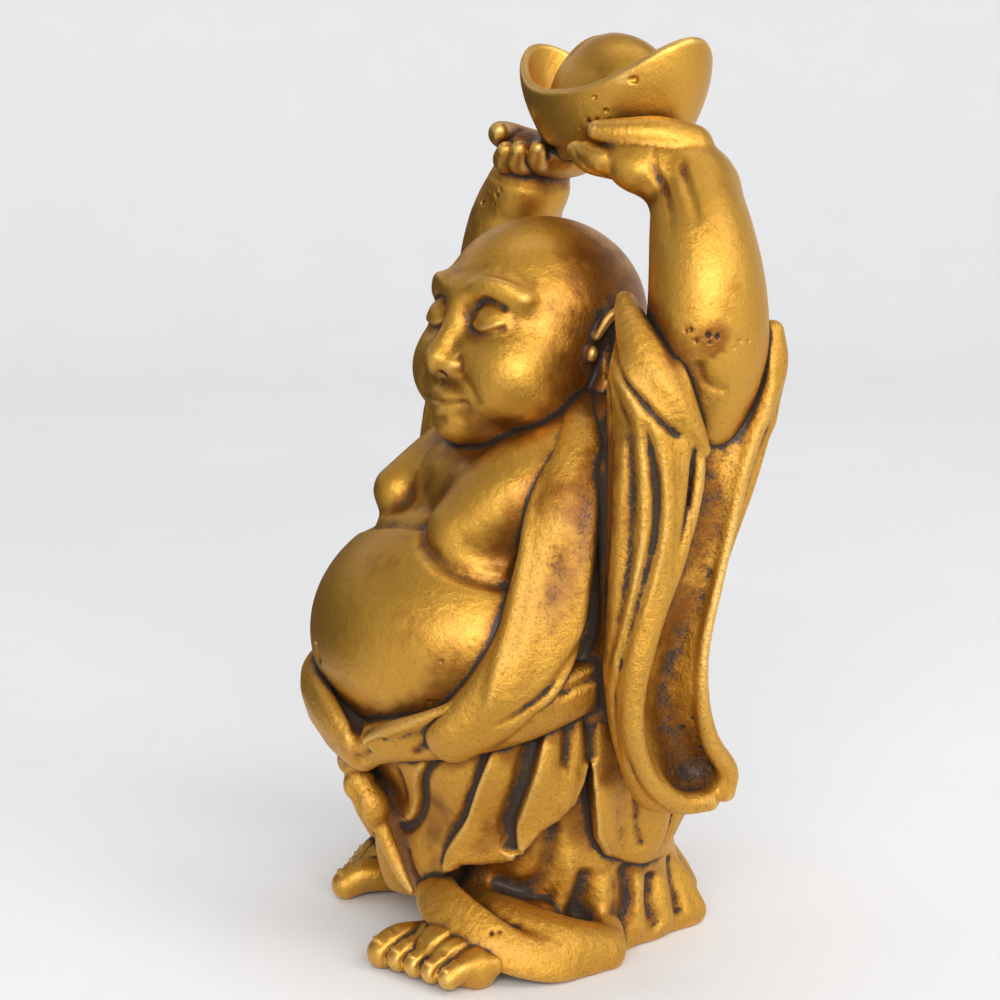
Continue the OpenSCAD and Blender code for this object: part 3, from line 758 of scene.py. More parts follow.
# %% [markdown]
# ## Sleeves
# The arms are raised, so each wide sleeve has slid down and hangs from the elbow. From the side it is
# a long open trough between two rolled lips that spreads into a scoop at its foot. In front of the arm
# the cuff is folded back into a leaf with a pointed tip. The left sleeve is modelled, and the right
# one is the same carving mirrored and set further forward.

# %% Sleeves
SLEEVE = [(32.6, 44, 10.5, 2.5, 5), (34.5, 43.8, 10.5, 4.6, 8.6), (39.5, 43.8, 10.2, 5.8, 11.2),
          (46, 43.4, 8, 6.2, 11), (54, 43, 5.2, 6.4, 9.8), (62, 43, 4.6, 6.6, 9.7), (74, 42.6, 6, 6.9, 10.8),
          (84, 42, 8, 7.2, 12.2), (96, 41, 11, 7.8, 14.4), (108, 40, 14, 8.6, 16), (118, 38.4, 15, 9.2, 16.8),
          (126, 37, 16, 9, 15)]
FRONT_LIP = [(46.2, 11.6, 107), (47, 11.6, 100), (47.6, 10, 92), (48.2, 6.8, 83), (48.6, 2.8, 74),
             (48.9, -0.4, 65), (48.9, -2, 56), (48.7, -1.2, 48), (48.3, 2.4, 40.5), (47.6, 8.6, 36),
             (47.6, 14.6, 35.6)]
BACK_LIP = [(41, 30.5, 125.5), (42.6, 30, 119), (44, 26.6, 111), (45.2, 22.6, 101), (46, 19.6, 90),
            (47, 16.2, 78), (47.8, 13.2, 67), (48.2, 12.4, 57), (48, 14.4, 48), (47.6, 18.4, 41.5),
            (47.4, 18.2, 37)]


def make_sleeve(s):
    clay = Clay((24, -9, 30), (52, 36, 136))
    drape(clay, SLEEVE, 32.8, 122, rim=4)
    limb(clay, [(29.4, 4.6, 130.6), (34, 4, 125.6), (38.6, 3.4, 118.5), (42.4, 5, 111)], [1.8, 3.4, 5, 5],
         fillet=3)
    limb(clay, [(40.4, 29.6, 124.6), (41.4, 29, 119), (42, 26, 110)], [2.6, 3.6, 4], fillet=2.5)
    limb(clay, [(35, 8, 112), (34, 6, 90), (35, 4, 62), (38, 4, 48)], [9, 7, 6, 3], fillet=4)
    hollow = [(44, 17.5, 126), (50.6, 19, 112), (51.2, 15.4, 100), (51.4, 13, 88), (51.6, 9.4, 76),
              (51.6, 6.6, 66), (51.6, 5.4, 57), (51.4, 7.8, 49), (51, 11.4, 42.6)]
    limb(clay, hollow, [9.5, 8.4, 7.2, 7, 6.8, 6.6, 6.6, 7, 6.8], fillet=1.2, cut=True)
    limb(clay, [(47.6, 14.6, 80), (46.6, 9, 68), (46.2, 6.4, 57), (46.4, 9, 47), (46.6, 12, 42)],
         [1.6, 2.2, 2.6, 3.6, 4.4], fillet=2, cut=True)
    limb(clay, FRONT_LIP, [1.1, 1.2, 1.2, 1.2, 1.2, 1.3, 1.5, 1.8, 2.0, 2.1, 2.0], fillet=1.0)
    limb(clay, BACK_LIP, [1.4, 1.7, 1.6, 1.4, 1.3, 1.2, 1.2, 1.4, 1.8, 2.1, 2.0], fillet=1.0)
    leaf = [(29.6, 3.8, 131.2), (34, 3.2, 127), (39.6, 3.6, 121.4), (44, 6.2, 115), (46.2, 9.6, 109),
            (46.2, 12.6, 104)]
    limb(clay, leaf, [1.5, 3.2, 4.4, 4.0, 2.8, 1.6], fillet=0.6)
    edge = [(30.4, 1.6, 129.4), (34, -0.6, 124.6), (40.6, -0.6, 118), (45.6, 2.4, 111.6), (48.2, 7.6, 106)]
    groove(clay, edge, width=0.8, depth=1.3, fade=0.1)
    fold_a = [(36.4, -2, 120), (41.6, -1.6, 113), (44.6, -1.4, 106), (46.4, -1.4, 97), (47, -1.8, 88),
              (46.8, -3, 79), (45.8, -4.4, 71), (43.6, -5.4, 63), (41.6, -5.4, 56)]
    fold_b = [(44.6, 1, 111), (46.6, 2.6, 104), (47.6, 3.2, 96), (48, 2.6, 88), (48, 0.4, 79),
              (47.4, -2.2, 70), (46.2, -4.2, 61), (45, -4.4, 52), (44.6, -3, 44)]
    for fold, step in ((fold_a, 1.9), (fold_b, 1.5)):
        ledge(clay, fold[::-1], height=step, width=4.5, edge=0.4, fade=0.12)
        groove(clay, fold, width=0.8, depth=1.3, fade=0.1)
    groove(clay, [(36.6, -3.2, 117), (36, -4.4, 111), (35.8, -4.2, 104)], width=0.8, depth=2.4, fade=0.2)
    fold_c = [(38.4, -3.6, 108), (40.4, -4.4, 98), (41.2, -5, 88), (40.6, -6, 78), (39, -6.8, 68),
              (38, -7, 60)]
    ledge(clay, fold_c[::-1], height=1.6, width=4, edge=0.4, fade=0.15)
    groove(clay, fold_c, width=0.8, depth=1.2, fade=0.15)
    ridge(clay, [(45.6, -4.2, 62), (46.4, -4.4, 52), (45.4, -2, 43)], width=2.0, height=0.7)
    for line in ([(36, 30.4, 112), (39.6, 26, 96), (42, 20.4, 80), (42.6, 15.6, 66), (43, 17, 52)],
                 [(33, 28, 104), (36, 22, 90), (38.4, 17, 76)],
                 [(43.4, 31, 117), (45, 26.6, 104), (46, 21.6, 89), (46.6, 17.4, 73), (47, 16.4, 57)]):
        groove(clay, line, width=1.2, depth=1.4)
        ridge(clay, [(px - 0.5, py + 1.5, pz - 4) for px, py, pz in line], width=2.2, height=0.9)
    if s == RIGHT:
        clay.d = clay.d[::-1].copy()
        clay.low = np.array([-(clay.low[0] + clay.step * (clay.count[0] - 1)), clay.low[1] - 8, clay.low[2]])
    return clay


left_sleeve, right_sleeve = make_sleeve(LEFT), make_sleeve(RIGHT)
print("sleeve:", left_sleeve.d.shape)

# %% [markdown]
# ## Arms and hands
# The arms are smooth and round, with two shallow creases at the wrist where the hand bends back. The
# hands are palm up under the ingot: a heel, a palm and a few soft fingers that lie along its side.

# %% Arms
ARM_LINE = {LEFT: [(36, 17, 110), (37.8, 17.5, 122), (37.4, 17.6, 133), (33.6, 18, 144), (28, 19.4, 151.5)],
            RIGHT: [(-36, 8, 110), (-37.8, 8, 122), (-37.4, 7.6, 133), (-33.6, 7.6, 144), (-27, 8, 151.5)]}
ARM_R = [10, 11.8, 11.3, 9.9, 8.3]


def make_arm(s):
    low = (6, -4, 98) if s == LEFT else (-51, -9, 98)
    clay = Clay(low, (51, 31, 167) if s == LEFT else (-6, 22, 167), FINE)
    limb(clay, ARM_LINE[s], ARM_R)
    soften(clay, 3)
    if s == LEFT:
        limb(clay, [(28, 19.6, 151.5), (25.6, 18, 156), (24, 12, 157.4), (22.4, 7.4, 157.6)],
             [8.2, 6.4, 5, 4.2], fillet=2.5)
        mass(clay, (18, 13, 157.5), (7.4, 8.4, 4.6), fillet=2, turned=turn(0, 0, 16))
        mass(clay, (25.4, 11, 154.8), (5.4, 6.6, 4.4), fillet=4)              # heel of the hand
        soften(clay, 1.6)
        limb(clay, [(27, 19, 159.6), (25.4, 12.6, 161.6), (22.6, 7, 162), (19.6, 2.6, 162.8)],
             [4.4, 3.9, 3.2, 2.0], fillet=1)
        limb(clay, [(23.4, 7.4, 156.6), (20.8, 3.2, 157.2), (17.2, 1.2, 158.8)], [2.9, 2.6, 1.9], fillet=0.5)
        limb(clay, [(19, 6.6, 156.2), (15.8, 2.8, 157), (12.6, 1.2, 159)], [2.9, 2.5, 1.8], fillet=0.4)
        limb(clay, [(15, 7.6, 156.4), (11.6, 4.4, 157.2), (9.4, 3, 159.2)], [2.6, 2.2, 1.6], fillet=0.4)
        creases = ([(27.4, 11, 161), (30.2, 9.6, 157), (34, 8.6, 152.6), (38, 8, 147.6), (40.4, 7.6, 143)],
                   [(31.6, 14.6, 159), (36, 13, 154.6), (40.4, 12.6, 150), (43, 13, 145)])
    else:
        limb(clay, [(-27, 8, 151.5), (-25.6, 8, 156), (-23.6, 5.6, 157.6), (-21.4, 3, 157.8)],
             [8.2, 6.2, 5, 4], fillet=2.5)
        mass(clay, (-17.5, 11, 157.2), (7.6, 9, 4.6), fillet=2, turned=turn(0, 0, 16))
        limb(clay, [(-27, 8, 159), (-25.6, 3, 161), (-22.6, -0.4, 161.8), (-19.4, -2, 162.4)],
             [3.8, 3.2, 2.7, 1.9], fillet=1)
        limb(clay, [(-24, 3.6, 156), (-21.6, 0, 156.4), (-17.6, -1.4, 158.6)], [2.8, 2.5, 1.8], fillet=0.5)
        limb(clay, [(-20, 4.6, 155.8), (-16.8, 1, 156.4), (-13.4, 0, 158.8)], [2.8, 2.4, 1.8], fillet=0.4)
        limb(clay, [(-15.6, 6.6, 156), (-12.4, 3.6, 157), (-10, 2.8, 159)], [2.6, 2.2, 1.6], fillet=0.4)
        creases = ([(-27.6, 0.6, 160), (-31, -1, 156), (-35, -1.4, 151), (-39, -2, 146)],
                   [(-32, 4, 159), (-37, 3, 154), (-41, 3, 148.5)])
    for line in creases:
        groove(clay, line, width=0.8, depth=0.9, fade=0.3)
    groove(clay, [(s * 48.6, 10, 121), (s * 47, 13, 117), (s * 46.4, 17, 115.6)], width=0.9, depth=0.5)
    return clay


left_arm, right_arm = make_arm(LEFT), make_arm(RIGHT)
print("arm:", left_arm.d.shape)

# %% [markdown]
# ## Ingot
# The ingot is the old boat-shaped kind. Its wall flares from a small foot to a rim that dips in the
# middle and rises to a rounded wing at each end, and a smooth dome fills the boat. The wall is worked
# out from its own rule, because the height of the rim depends on where round the boat we are.

# %% Ingot
INGOT_C = np.array([0.5, 14.8, 159.5])
INGOT_TURN = turn(0, 0, 16)
RIM_LOW, RIM_HIGH, HALF_L, HALF_W, WALL = 11.5, 21.2, 24.5, 15.5, 1.9
ingot = Clay((-26, -4, 158), (27, 34, 183), FINE)
where, (x, y, z) = ingot.everywhere()
u, v = (x - INGOT_C[0]), (y - INGOT_C[1])
u, v = (INGOT_TURN[0][0] * u + INGOT_TURN[1][0] * v, INGOT_TURN[0][1] * u + INGOT_TURN[1][1] * v)
h = z - INGOT_C[2]
swing = np.arctan2(v / HALF_W, u / HALF_L)
rise = np.abs(np.cos(swing)) ** 2.4
rim = RIM_LOW + (RIM_HIGH - RIM_LOW) * rise


def boat(inset):
    """Distance to the side of the boat, drawn in by an inset."""
    t = np.clip(h / rim, 0, 1)
    bend = np.sin(t * math.pi / 2)
    a = HALF_L * (0.74 + 0.26 * bend) - inset
    b = (HALF_W * (0.66 + 0.34 * bend) - inset) * (1 - 0.1 * t * rise)
    r = np.sqrt(u * u + v * v) + 1e-3
    q = np.sqrt((u / a) ** 2 + (v / b) ** 2) + 1e-4
    return (r - r / q) * 0.85


shell = soft_max(boat(0), np.maximum((h - rim) * 0.85, -h), 1.6)
well = np.maximum(boat(WALL), (0.5 * rim - h) * 0.85)
ingot.join(where, soft_max(shell, -well, 1.2))
mass(ingot, INGOT_C + INGOT_TURN @ (0, 0, 7), (16.4, 10.9, 15.4), fillet=0.5, turned=INGOT_TURN)
arc = [INGOT_C + INGOT_TURN @ p for p in ((-7, -9, 15.2), (-5.4, -6.4, 19), (-3.8, -2.6, 21.4),
                                          (-3, 1.5, 22), (-3.4, 6, 20))]
groove(ingot, arc, width=0.45, depth=0.4, fade=0.4)
ledge(ingot, arc, height=0.3, width=4, edge=0.4, fade=0.45)
print("ingot:", ingot.d.shape)

# %% [markdown]
# ## Flaws of the casting
# Small air bubbles stick to the mould and leave pits and rings in the cast. They matter to the look:
# the dark wash settles in them. Each pit is a shallow ball cut out where it touches the skin, and the
# places are picked by a seeded random number generator, so that every run makes the same statue.

# %% Pits
chance = np.random.default_rng(7)


def pits(clay, centre, spread, number, sizes=(0.35, 0.7)):
    """Small round pits scattered on the skin within a spread of a place."""
    for _ in range(number):
        p = settle(clay, [np.array(centre) + chance.normal(0, 1, 3) * spread])[0]
        r = chance.uniform(*sizes)
        mass(clay, p, (r, r, r), fillet=0.1, cut=True)


pits(ingot, (13, 5.5, 164), (4.5, 1, 2.6), 20, (0.3, 0.6))
pits(ingot, (16.6, 9.5, 172.5), (2.4, 0.8, 0.8), 10, (0.5, 0.85))
pits(left_arm, (48.4, 12, 126), (1.3, 2.6, 1.1), 7, (0.3, 0.55))
pits(left_arm, (48, 19, 124.5), (1, 1.2, 1.6), 4, (0.25, 0.4))
mass(left_arm, (49.9, 14, 122.6), (0.9, 2.0, 1.0), fillet=0.4, cut=True)
pits(right_arm, (-27, 2, 150), (3, 2, 5), 6)
pits(torso, (24, -38, 58), (6, 6, 6), 9, (0.3, 0.42))
pits(left_sleeve, (46, 12, 46), (1.5, 3, 5), 6)
pits(underskirt, (37, -22, 6), (2, 4, 3), 4)

# %% [markdown]
# ## Where the wash gathers and where shade is painted
# Dark wash is wiped off the high places and stays in the low ones, and shade is painted into the deep
# hollows. To know which is which, all the clay is put in one grid of ones and zeros and blurred. A
# point on a flat skin then reads one half, a point in a crease reads more, and one on an edge reads
# less. A narrow blur finds the creases, where the wash stays, and a wide one finds the hollows where
# light hardly comes, which the shader darkens as painted shade.

# %% Fill one grid with all the clay and blur it
CLAY = {"torso": torso, "head": head, "outer_robe": robe, "left_lapel": left_lapel,
        "right_lapel": right_lapel, "belly_sash": sash, "sash_knot": knot, "overskirt": overskirt,
        "underskirt": underskirt, "left_foot": left_foot, "right_foot": right_foot,
        "left_sleeve": left_sleeve, "right_sleeve": right_sleeve, "left_arm": left_arm,
        "right_arm": right_arm, "ingot": ingot}
ALL_LOW, ALL_HIGH = (-58, -60, -8), (58, 44, 190)
solid = Clay(ALL_LOW, ALL_HIGH)
solid.d[:] = 0
for clay in CLAY.values():
    high = clay.low + clay.step * (clay.count - 1)
    where, xyz = solid.window(clay.low + 0.01, high - 0.01)
    points = np.stack(np.broadcast_arrays(*xyz), -1).reshape(-1, 3)
    filled = np.clip(0.5 - clay.sample(points) / STEP, 0, 1).reshape(solid.d[where].shape)
    solid.d[where] = np.maximum(solid.d[where], filled)


def blurred_clay(mm, coarse):
    out = Clay(ALL_LOW, ALL_HIGH)
    out.step = STEP * coarse
    out.d = blurred(solid.d[::coarse, ::coarse, ::coarse], max(1, round(mm / out.step / 2)) * 2 + 1)
    out.count = np.array(out.d.shape)
    return out


CREASE_BLUR, HOLLOW_BLUR = 1.8, 7                # mm
# the crease map places the dark wash, and the hollow map places painted shade
crease_map, hollow_map = blurred_clay(CREASE_BLUR, 1), blurred_clay(HOLLOW_BLUR, 2)
print("filled:", round(float(solid.d.sum()) * STEP ** 3 / 1000), "cc")

# %% [markdown]
# ## Stains and painted shade
# A wash wiped by hand is never even. A stain here is a soft round cloud with a centre, a reach and an
# amount, and it adds to the hollow reading, which darkens the colour. The places are listed, mostly
# behind the ear, down the sleeve and low on the robe, because an even wash looks like a machine put it
# on. Round the chipped elbow and the ingot they are wash left on; on the side of the head, under the
# arms and low on the robe they are partly wash and partly painted shade.

# %% Stains and painted shade, darkening listed places
STAINS_AND_SHADE = [((20, 4, 127), 12, 0.26), ((16, 14, 134), 14, 0.20), ((22, -6, 114), 7, 0.12),
          ((0, 24, 118), 22, 0.12), ((47, 14, 96), 9, 0.08), ((46, 10, 42), 8, 0.06),
          ((40, -7, 96), 16, 0.16), ((37, -6, 76), 12, 0.10), ((36, -14, 42), 12, 0.08),
          ((28, -34, 26), 9, 0.05), ((35, -6, 30), 9, 0.08), ((24, -30, 15), 9, 0.10), ((34, 6, 8), 12, 0.07),
          ((24, -38, 44), 7, 0.05), ((49, 13, 124.5), 3.4, 0.34), ((17, 9, 172.6), 2.4, 0.3),
          ((13, 6, 164), 7, 0.1), ((18, 6, 161), 8, 0.10), ((-16, 8, 159), 12, 0.16),
          ((-30, -2, 140), 12, 0.07), ((4, -48, 57), 6, 0.05), ((20, -36, 50), 8, 0.05)]


def stain_and_shade(points):
    """How much darker each point is painted, from the stains and patches of painted shade near it."""
    total = np.zeros(len(points))
    for centre, reach, amount in STAINS_AND_SHADE:
        total += amount * np.exp(-((points - np.array(centre)) ** 2).sum(1) / reach ** 2)
    return total


# %% [markdown]
# ## From clay to mesh
# OpenVDB walks through a block and lays a face wherever the distance crosses zero, which always gives a
# closed skin. The mesh is moved from design millimetres to metres, keeps only its largest island, and
# each of its points is told how deep in a crease and in a hollow it lies.

# %% Skins
def largest_island(points, quads):
    """The points and faces of the piece with most points, without crumbs or inner bubbles."""
    label = np.arange(len(points))
    a, b = quads[:, [0, 1, 2, 3]].ravel(), quads[:, [1, 2, 3, 0]].ravel()
    while True:
        low = np.minimum(label[a], label[b])
        new = label.copy()
        np.minimum.at(new, a, low)
        np.minimum.at(new, b, low)
        new = new[new[new]]
        if (new == label).all():
            break
        label = new
    keep = label == np.bincount(label).argmax()
    index = np.cumsum(keep) - 1
    return points[keep], index[quads[keep[quads[:, 0]]]]


def skin(name, clay, finish):
    grid = openvdb.FloatGrid(background=FAR)
    grid.copyFromArray(np.clip(clay.d, -FAR, FAR))
    points, quads = largest_island(*grid.convertToQuads(0.0))
    points = points * clay.step + clay.low
    mesh = bpy.data.meshes.new(name)
    mesh.vertices.add(len(points))
    mesh.vertices.foreach_set("co", (points * MM).astype(np.float32).ravel())
    mesh.loops.add(quads.size)
    mesh.loops.foreach_set("vertex_index", quads.astype(np.int32).ravel())
    mesh.polygons.add(len(quads))
    mesh.polygons.foreach_set("loop_start", np.arange(0, quads.size, 4, dtype=np.int32))
    mesh.update(calc_edges=True)
    mesh.validate()
    mesh.shade_smooth()
    # the crease reading places the dark wash; the hollow reading, stains added, darkens the colour as painted
    # shade
    crease, hollow = crease_map.sample(points) - 0.5, hollow_map.sample(points) - 0.5 + stain_and_shade(points)
    for key, value in (("crease", crease), ("hollow", hollow)):
        mesh.attributes.new(key, "FLOAT", "POINT").data.foreach_set("value", value.astype(np.float32))
    mesh.materials.append(finish)
    piece = bpy.data.objects.new(name, mesh)
    bpy.context.collection.objects.link(piece)
    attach(piece, "root")
    print(name, len(points), "points")
    return piece


# %% [markdown]
# ## Old gold
# The finish is gold paint with a dark brown wash wiped back, and painted shade. In the shader the
# darkening is a number made from the crease and the hollow of the point, broken up by noise so that
# its edge is ragged and its middle is speckled: in the creases it is the wash, in the deep hollows it is
# painted shade. It turns the colour from gold through amber, partly amber paint and partly painted
# shade, to near black, and makes the paint less metallic and rougher at once. Proud edges are painted
# paler, partly rubbed wear and partly a painted highlight.

# %% Node helpers
class Finish:
    """A material being wired up. Each call adds a node and gives back its output."""

    def __init__(self, name):
        self.material = bpy.data.materials.new(name)
        self.material.use_nodes = True
        self.tree = self.material.node_tree
        self.shader = self.tree.nodes["Principled BSDF"]
        self.place = self.node("ShaderNodeTexCoord").outputs["Object"]

    def node(self, kind, **settings):
        n = self.tree.nodes.new(kind)
        for key, value in settings.items():
            setattr(n, key, value)
        return n

    def feed(self, socket, value):
        if isinstance(value, bpy.types.NodeSocket):
            self.tree.links.new(value, socket)
        else:
            socket.default_value = value

    def read(self, attribute):
        return self.node("ShaderNodeAttribute", attribute_name=attribute).outputs["Fac"]

    def noise(self, size_mm, detail=3.0, rough=0.5):
        n = self.node("ShaderNodeTexNoise")
        self.feed(n.inputs["Vector"], self.place)
        n.inputs["Scale"].default_value = 1 / (size_mm * MM)
        n.inputs["Detail"].default_value = detail
        n.inputs["Roughness"].default_value = rough
        return n.outputs["Fac"]

    def sum(self, *terms):
        """The sum of (value, weight) pairs."""
        total = 0.0
        for value, weight in terms:
            n = self.node("ShaderNodeMath", operation="MULTIPLY_ADD")
            self.feed(n.inputs[0], value)
            self.feed(n.inputs[1], weight)
            self.feed(n.inputs[2], total)
            total = n.outputs[0]
        return total

    def times(self, a, b):
        n = self.node("ShaderNodeMath", operation="MULTIPLY")
        self.feed(n.inputs[0], a)
        self.feed(n.inputs[1], b)
        return n.outputs[0]

    def step(self, value, low, high, to_low=0.0, to_high=1.0):
        n = self.node("ShaderNodeMapRange", interpolation_type="SMOOTHSTEP")
        for socket, v in zip(n.inputs[:5], (value, low, high, to_low, to_high)):
            self.feed(socket, v)
        return n.outputs["Result"]

    def mix(self, factor, a, b):
        n = self.node("ShaderNodeMix", data_type="RGBA")
        self.feed(n.inputs["Factor"], factor)
        for socket, v in ((n.inputs[6], a), (n.inputs[7], b)):
            self.feed(socket, v if isinstance(v, bpy.types.NodeSocket) else (*v, 1.0))
        return n.outputs[2]

    def bump(self, height, depth_mm, strength=1.0, normal=None):
        n = self.node("ShaderNodeBump")
        self.feed(n.inputs["Height"], height)
        n.inputs["Distance"].default_value = depth_mm * MM
        n.inputs["Strength"].default_value = strength
        if normal is not None:
            self.feed(n.inputs["Normal"], normal)
        return n.outputs["Normal"]


# %% [markdown]
# ### The paint itself
# One function mixes all three golds, so skin, robe and ingot differ only in how much wash and painted
# shade and how much grain they have. It gives back the material, and a piece is handed that, not a name to
# look up.

# %% Gold paint
# The amber is partly amber paint and partly painted shade, the pale gold is partly rubbed wear and partly a
# painted highlight, and the near black is partly dark wash and partly painted shade.
GOLD, AMBER_PAINT_AND_SHADE = (0.64, 0.335, 0.046), (0.30, 0.115, 0.013)
PALE_WEAR_AND_HIGHLIGHT, NEAR_BLACK_WASH_AND_SHADE = (0.86, 0.56, 0.17), (0.036, 0.019, 0.009)


def gold_paint(name, grime_and_shade=1.0, grain=1.0):
    f = Finish(name)
    crease, hollow = f.read("crease"), f.read("hollow")
    cloud, blotch, speck, dust = f.noise(14), f.noise(3.2, 5), f.noise(0.6, 5, 0.65), f.noise(0.3, 2)
    # darkening: dark wash in the creases and painted shade in the hollows, made ragged by noise
    wash_and_shade = f.sum((crease, 6.5 * grime_and_shade), (hollow, 2.0 * grime_and_shade), (blotch, 1.5), (speck, 1.9), (1.0, -1.74))
    # amber tint, strongest in creases and hollows: partly amber paint, partly painted shade
    amber_and_shade = f.step(f.sum((crease, 3.0), (hollow, 3.6), (cloud, 2.0), (blotch, 1.0), (1.0, -1.3)), 0.0, 0.85)
    dark = f.step(wash_and_shade, 0.34, 1.05)
    # paler on proud edges: partly rubbed wear, partly a painted highlight
    rubbed_and_highlight = f.step(f.sum((crease, -5.0), (blotch, 0.4), (1.0, -0.35)), 0.1, 0.8)
    colour = f.mix(amber_and_shade, GOLD, AMBER_PAINT_AND_SHADE)
    colour = f.mix(f.times(rubbed_and_highlight, 0.7), colour, PALE_WEAR_AND_HIGHLIGHT)
    colour = f.mix(f.times(f.step(speck, 0.54, 0.70), 0.5 * grain), colour, AMBER_PAINT_AND_SHADE)
    colour = f.mix(dark, colour, NEAR_BLACK_WASH_AND_SHADE)
    f.feed(f.shader.inputs["Base Color"], colour)
    f.feed(f.shader.inputs["Metallic"], f.step(dark, 0.0, 1.0, 0.95, 0.25))
    f.feed(f.shader.inputs["Roughness"], f.sum((dark, 0.2), (speck, 0.22 * grain), (cloud, 0.08),
                                               (1.0, 0.33)))
    f.shader.inputs["Coat Weight"].default_value = 0.2
    f.shader.inputs["Coat Roughness"].default_value = 0.28
    normal = f.bump(f.noise(1.5, 4), 0.26 * grain, 0.8)
    normal = f.bump(speck, 0.11 * grain, 0.8, normal)
    f.feed(f.shader.inputs["Normal"], f.bump(dust, 0.05 * grain, 0.8, normal))
    return f.material


PAINT = {"skin_gold": gold_paint("antique_skin", grime_and_shade=0.95, grain=0.8),
         "robe_gold": gold_paint("antique_robe", grime_and_shade=1.3, grain=1.4),
         "ingot_gold": gold_paint("antique_ingot", grime_and_shade=1.0, grain=0.6)}

# %% [markdown]
# ## Pins and plug
# The steel dowels and the resin plug keep their CAD shapes, because they are plain turned parts. They
# only need a finish of their own: fine lines across drawn steel, and a chalky cast face on the plug.

# %% Steel and bare resin
steel = Finish("dowel_steel")
scratch = steel.noise(0.4, 3)
steel.feed(steel.shader.inputs["Base Color"], steel.mix(scratch, (0.52, 0.52, 0.54), (0.72, 0.72, 0.73)))
steel.shader.inputs["Metallic"].default_value = 1.0
steel.feed(steel.shader.inputs["Roughness"], steel.sum((scratch, 0.2), (1.0, 0.22)))
steel.feed(steel.shader.inputs["Normal"], steel.bump(scratch, 0.02))

resin = Finish("plug_resin")
chalk, blotch = resin.noise(0.6, 4), resin.noise(6, 3)
resin.feed(resin.shader.inputs["Base Color"], resin.mix(blotch, (0.78, 0.73, 0.62), (0.88, 0.84, 0.75)))
resin.feed(resin.shader.inputs["Roughness"], resin.sum((chalk, 0.2), (1.0, 0.55)))
resin.feed(resin.shader.inputs["Normal"], resin.bump(chalk, 0.06))

for node, finish in (("neck_dowel", steel), ("left_arm_dowel", steel), ("right_arm_dowel", steel),
                     ("ingot_pins", steel), ("waist_dowel", steel), ("foot_pins", steel),
                     ("base_plug", resin)):
    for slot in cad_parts[node].material_slots:
        slot.material = finish.material

# %% [markdown]
# ### Dressing
# Each block of clay becomes a mesh, gets its gold and takes the place of its CAD body. The script stops
# if a piece isn't wearing its own paint, because a wrong finish is easy to miss.

# %% Dress the carving
SKIN = ("torso", "head", "left_foot", "right_foot", "left_arm", "right_arm")
for node, clay in CLAY.items():
    slot = "skin_gold" if node in SKIN else "ingot_gold" if node == "ingot" else "robe_gold"
    piece = skin("carved_" + node, clay, PAINT[slot])
    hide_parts(node)
    worn = piece.material_slots[0].material
    assert worn == PAINT[slot], node + " is not wearing its own paint"
print("pieces dressed:", len(CLAY), "in", ", ".join(m.name for m in PAINT.values()))

# %% [markdown]
# ## Stage, light and camera
# The statue stands in a white bowl: a flat floor whose edge curves up into a wall, so that no line
# shows where they meet. Gold shows mostly what it reflects. One soft window hangs over the camera, a
# lower one stands on the figure's left, and dark cards out of sight in front and overhead give the
# metal its browns. Bowl and cards are the same thing, a profile swept round the statue.

# %% Sweep a profile round the statue
def swept(name, profile, finish, start=0, stop=360, parts=96):
    """A sheet whose profile, (radius, height) in metres, is carried round between two azimuths."""
    whole = stop - start >= 360
    turns = [math.radians(start + (stop - start) * i / parts) for i in range(parts if whole else parts + 1)]
    n = len(turns)
    verts = [(r * math.sin(a), -r * math.cos(a), h) for r, h in profile for a in turns]
    faces = [(j * n + i, (j + 1) * n + i, (j + 1) * n + (i + 1) % n, j * n + (i + 1) % n)
             for j in range(len(profile) - 1) for i in range(n if whole else n - 1)]
    mesh = bpy.data.meshes.new(name)
    mesh.from_pydata(verts, [], faces)
    mesh.shade_smooth()
    mesh.materials.append(finish.material)
    sheet = bpy.data.objects.new(name, mesh)
    bpy.context.collection.objects.link(sheet)
    sheet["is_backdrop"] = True
    return sheet


paper = Finish("paper")
tone = paper.mix(paper.noise(60, 4), (0.74, 0.74, 0.745), (0.77, 0.77, 0.77))
paper.feed(paper.shader.inputs["Base Color"], tone)
paper.shader.inputs["Roughness"].default_value = 0.8
paper.feed(paper.shader.inputs["Normal"], paper.bump(paper.noise(1.2, 3), 0.03))
FLAT, BEND = 0.9, 0.6                         # metres: floor radius and the radius of the curve up
curve = [(FLAT + BEND * math.sin(math.radians(a)), BEND - BEND * math.cos(math.radians(a)))
         for a in range(0, 91, 5)]
swept("bowl", [(0.0, 0.0), (0.3, 0.0), (0.6, 0.0), *curve, (FLAT + BEND, 2.4)], paper)

# %% [markdown]
# ### Cards
# Polished things need something dark to reflect, or they look like plastic. The cards are hidden from
# the camera and cast no shadow, so only the gold can see them.

# %% Dark cards, seen only in the metal
def dull(name, colour):
    f = Finish(name)
    f.shader.inputs["Base Color"].default_value = (*colour, 1)
    f.shader.inputs["Roughness"].default_value = 0.9
    return f


card_brown = dull("card_brown", (0.030, 0.024, 0.020))
card_grey = dull("card_grey", (0.16, 0.15, 0.145))
for card in (swept("card_front", [(0.16, 0.004), (0.6, 0.01), (0.7, 0.1), (0.72, 0.34)], card_brown, -120,
                   -12), swept("card_floor", [(0.11, 0.003), (0.42, 0.003)], card_brown, 35, 100),
             swept("card_ceiling", [(0.02, 1.5), (1.2, 1.5), (1.3, 1.0)], card_grey)):
    card.visible_camera = card.visible_diffuse = card.visible_shadow = False

# %% [markdown]
# ### Camera and windows
# The camera stands at the height of the ingot and looks down a little, with a long lens that keeps the
# near foot from looking large. Lamps are placed by azimuth and elevation round the statue.

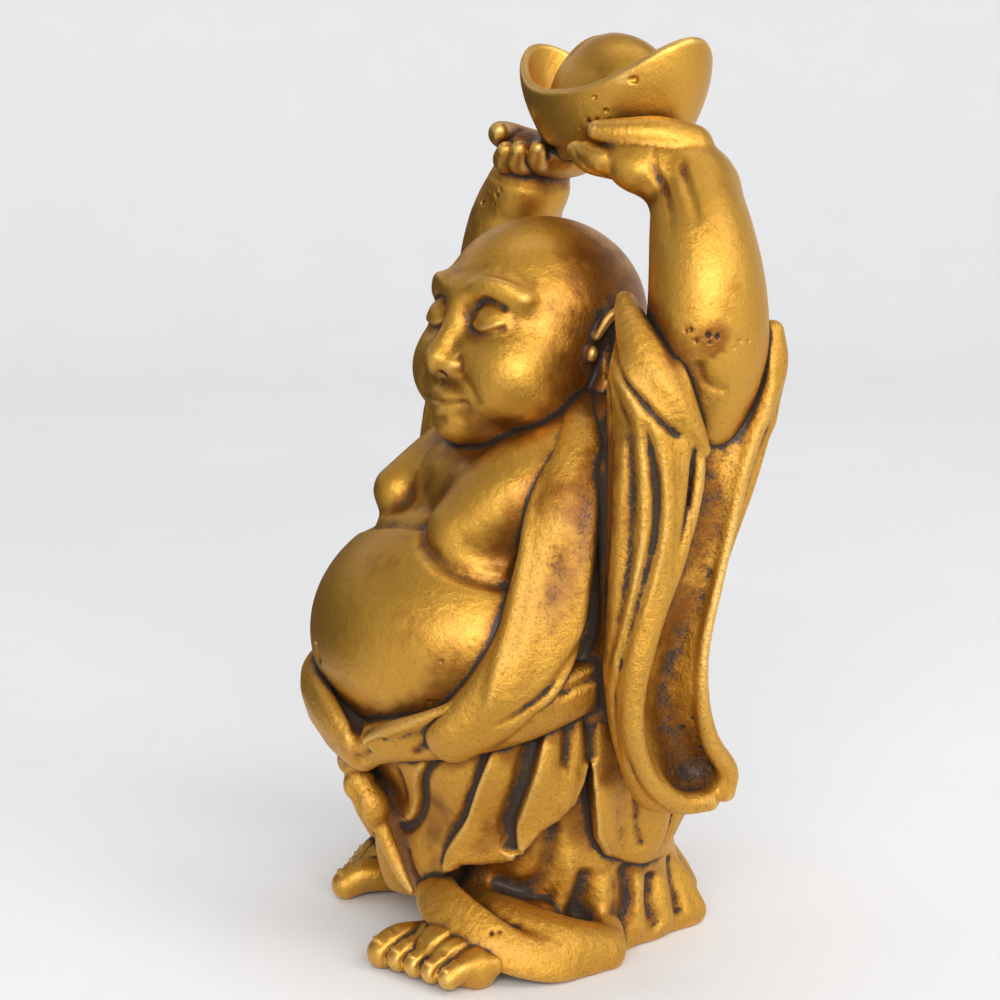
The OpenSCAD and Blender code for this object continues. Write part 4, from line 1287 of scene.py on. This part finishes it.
# %% Camera and light
AIM = np.array([-3.5, -8.3, 87.5]) * MM
EYE = np.array([395.8, -168.0, 165.0]) * MM
SENSOR, LENS, NEAR = 36, 76.2, 0.01           # millimetres, millimetres, metres
ROOM_LIGHT = 0.66


def look_at(thing, place, target):
    """Puts a camera or lamp at a place, with its -Z towards the target."""
    thing.location = place
    thing.rotation_euler = Vector(np.array(target) - np.array(place)).to_track_quat("-Z", "Y").to_euler()


camera = bpy.data.objects.new("camera", bpy.data.cameras.new("camera"))
bpy.context.collection.objects.link(camera)
bpy.context.scene.camera = camera
look_at(camera, EYE, AIM)
camera.data.sensor_width, camera.data.lens, camera.data.clip_start = SENSOR, LENS, NEAR


def window(name, azimuth, elevation, distance, width, height, watts):
    """A soft area lamp seen from the statue at an azimuth (0 in front, 90 on its left) and elevation."""
    lamp = bpy.data.lights.new(name, "AREA")
    lamp.shape, lamp.size, lamp.size_y, lamp.energy = "RECTANGLE", width, height, watts
    ob = bpy.data.objects.new(name, lamp)
    bpy.context.collection.objects.link(ob)
    a, e, middle = math.radians(azimuth), math.radians(elevation), 0.09
    look_at(ob, (distance * math.sin(a) * math.cos(e), -distance * math.cos(a) * math.cos(e),
                 middle + distance * math.sin(e)), (0, 0, middle))
    return ob


window("key", 70, 26, 1.1, 1.0, 0.4, 9.5)
window("side", 125, 42, 1.0, 0.4, 0.6, 2.5)
wall = window("wall", 247, 50, 1.0, 1.4, 0.4, 8.5)
look_at(wall, (-0.2, 0.1, 1.5), (-1.5, 0.6, 0.3))
world = bpy.data.worlds.new("room")
bpy.context.scene.world = world
world.use_nodes = True
world.node_tree.nodes["Background"].inputs["Color"].default_value = (0.97, 0.98, 1.0, 1)
world.node_tree.nodes["Background"].inputs["Strength"].default_value = ROOM_LIGHT
bpy.context.scene.view_settings.view_transform = "Standard"

# %% [markdown]
# ### Measure
# The box of the whole statue is kept from before and after carving, so that any growth shows up.

# %% Measure and finish
low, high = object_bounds()
print("visual box, mm:", [round(c / MM, 1) for c in (*low, *high)])
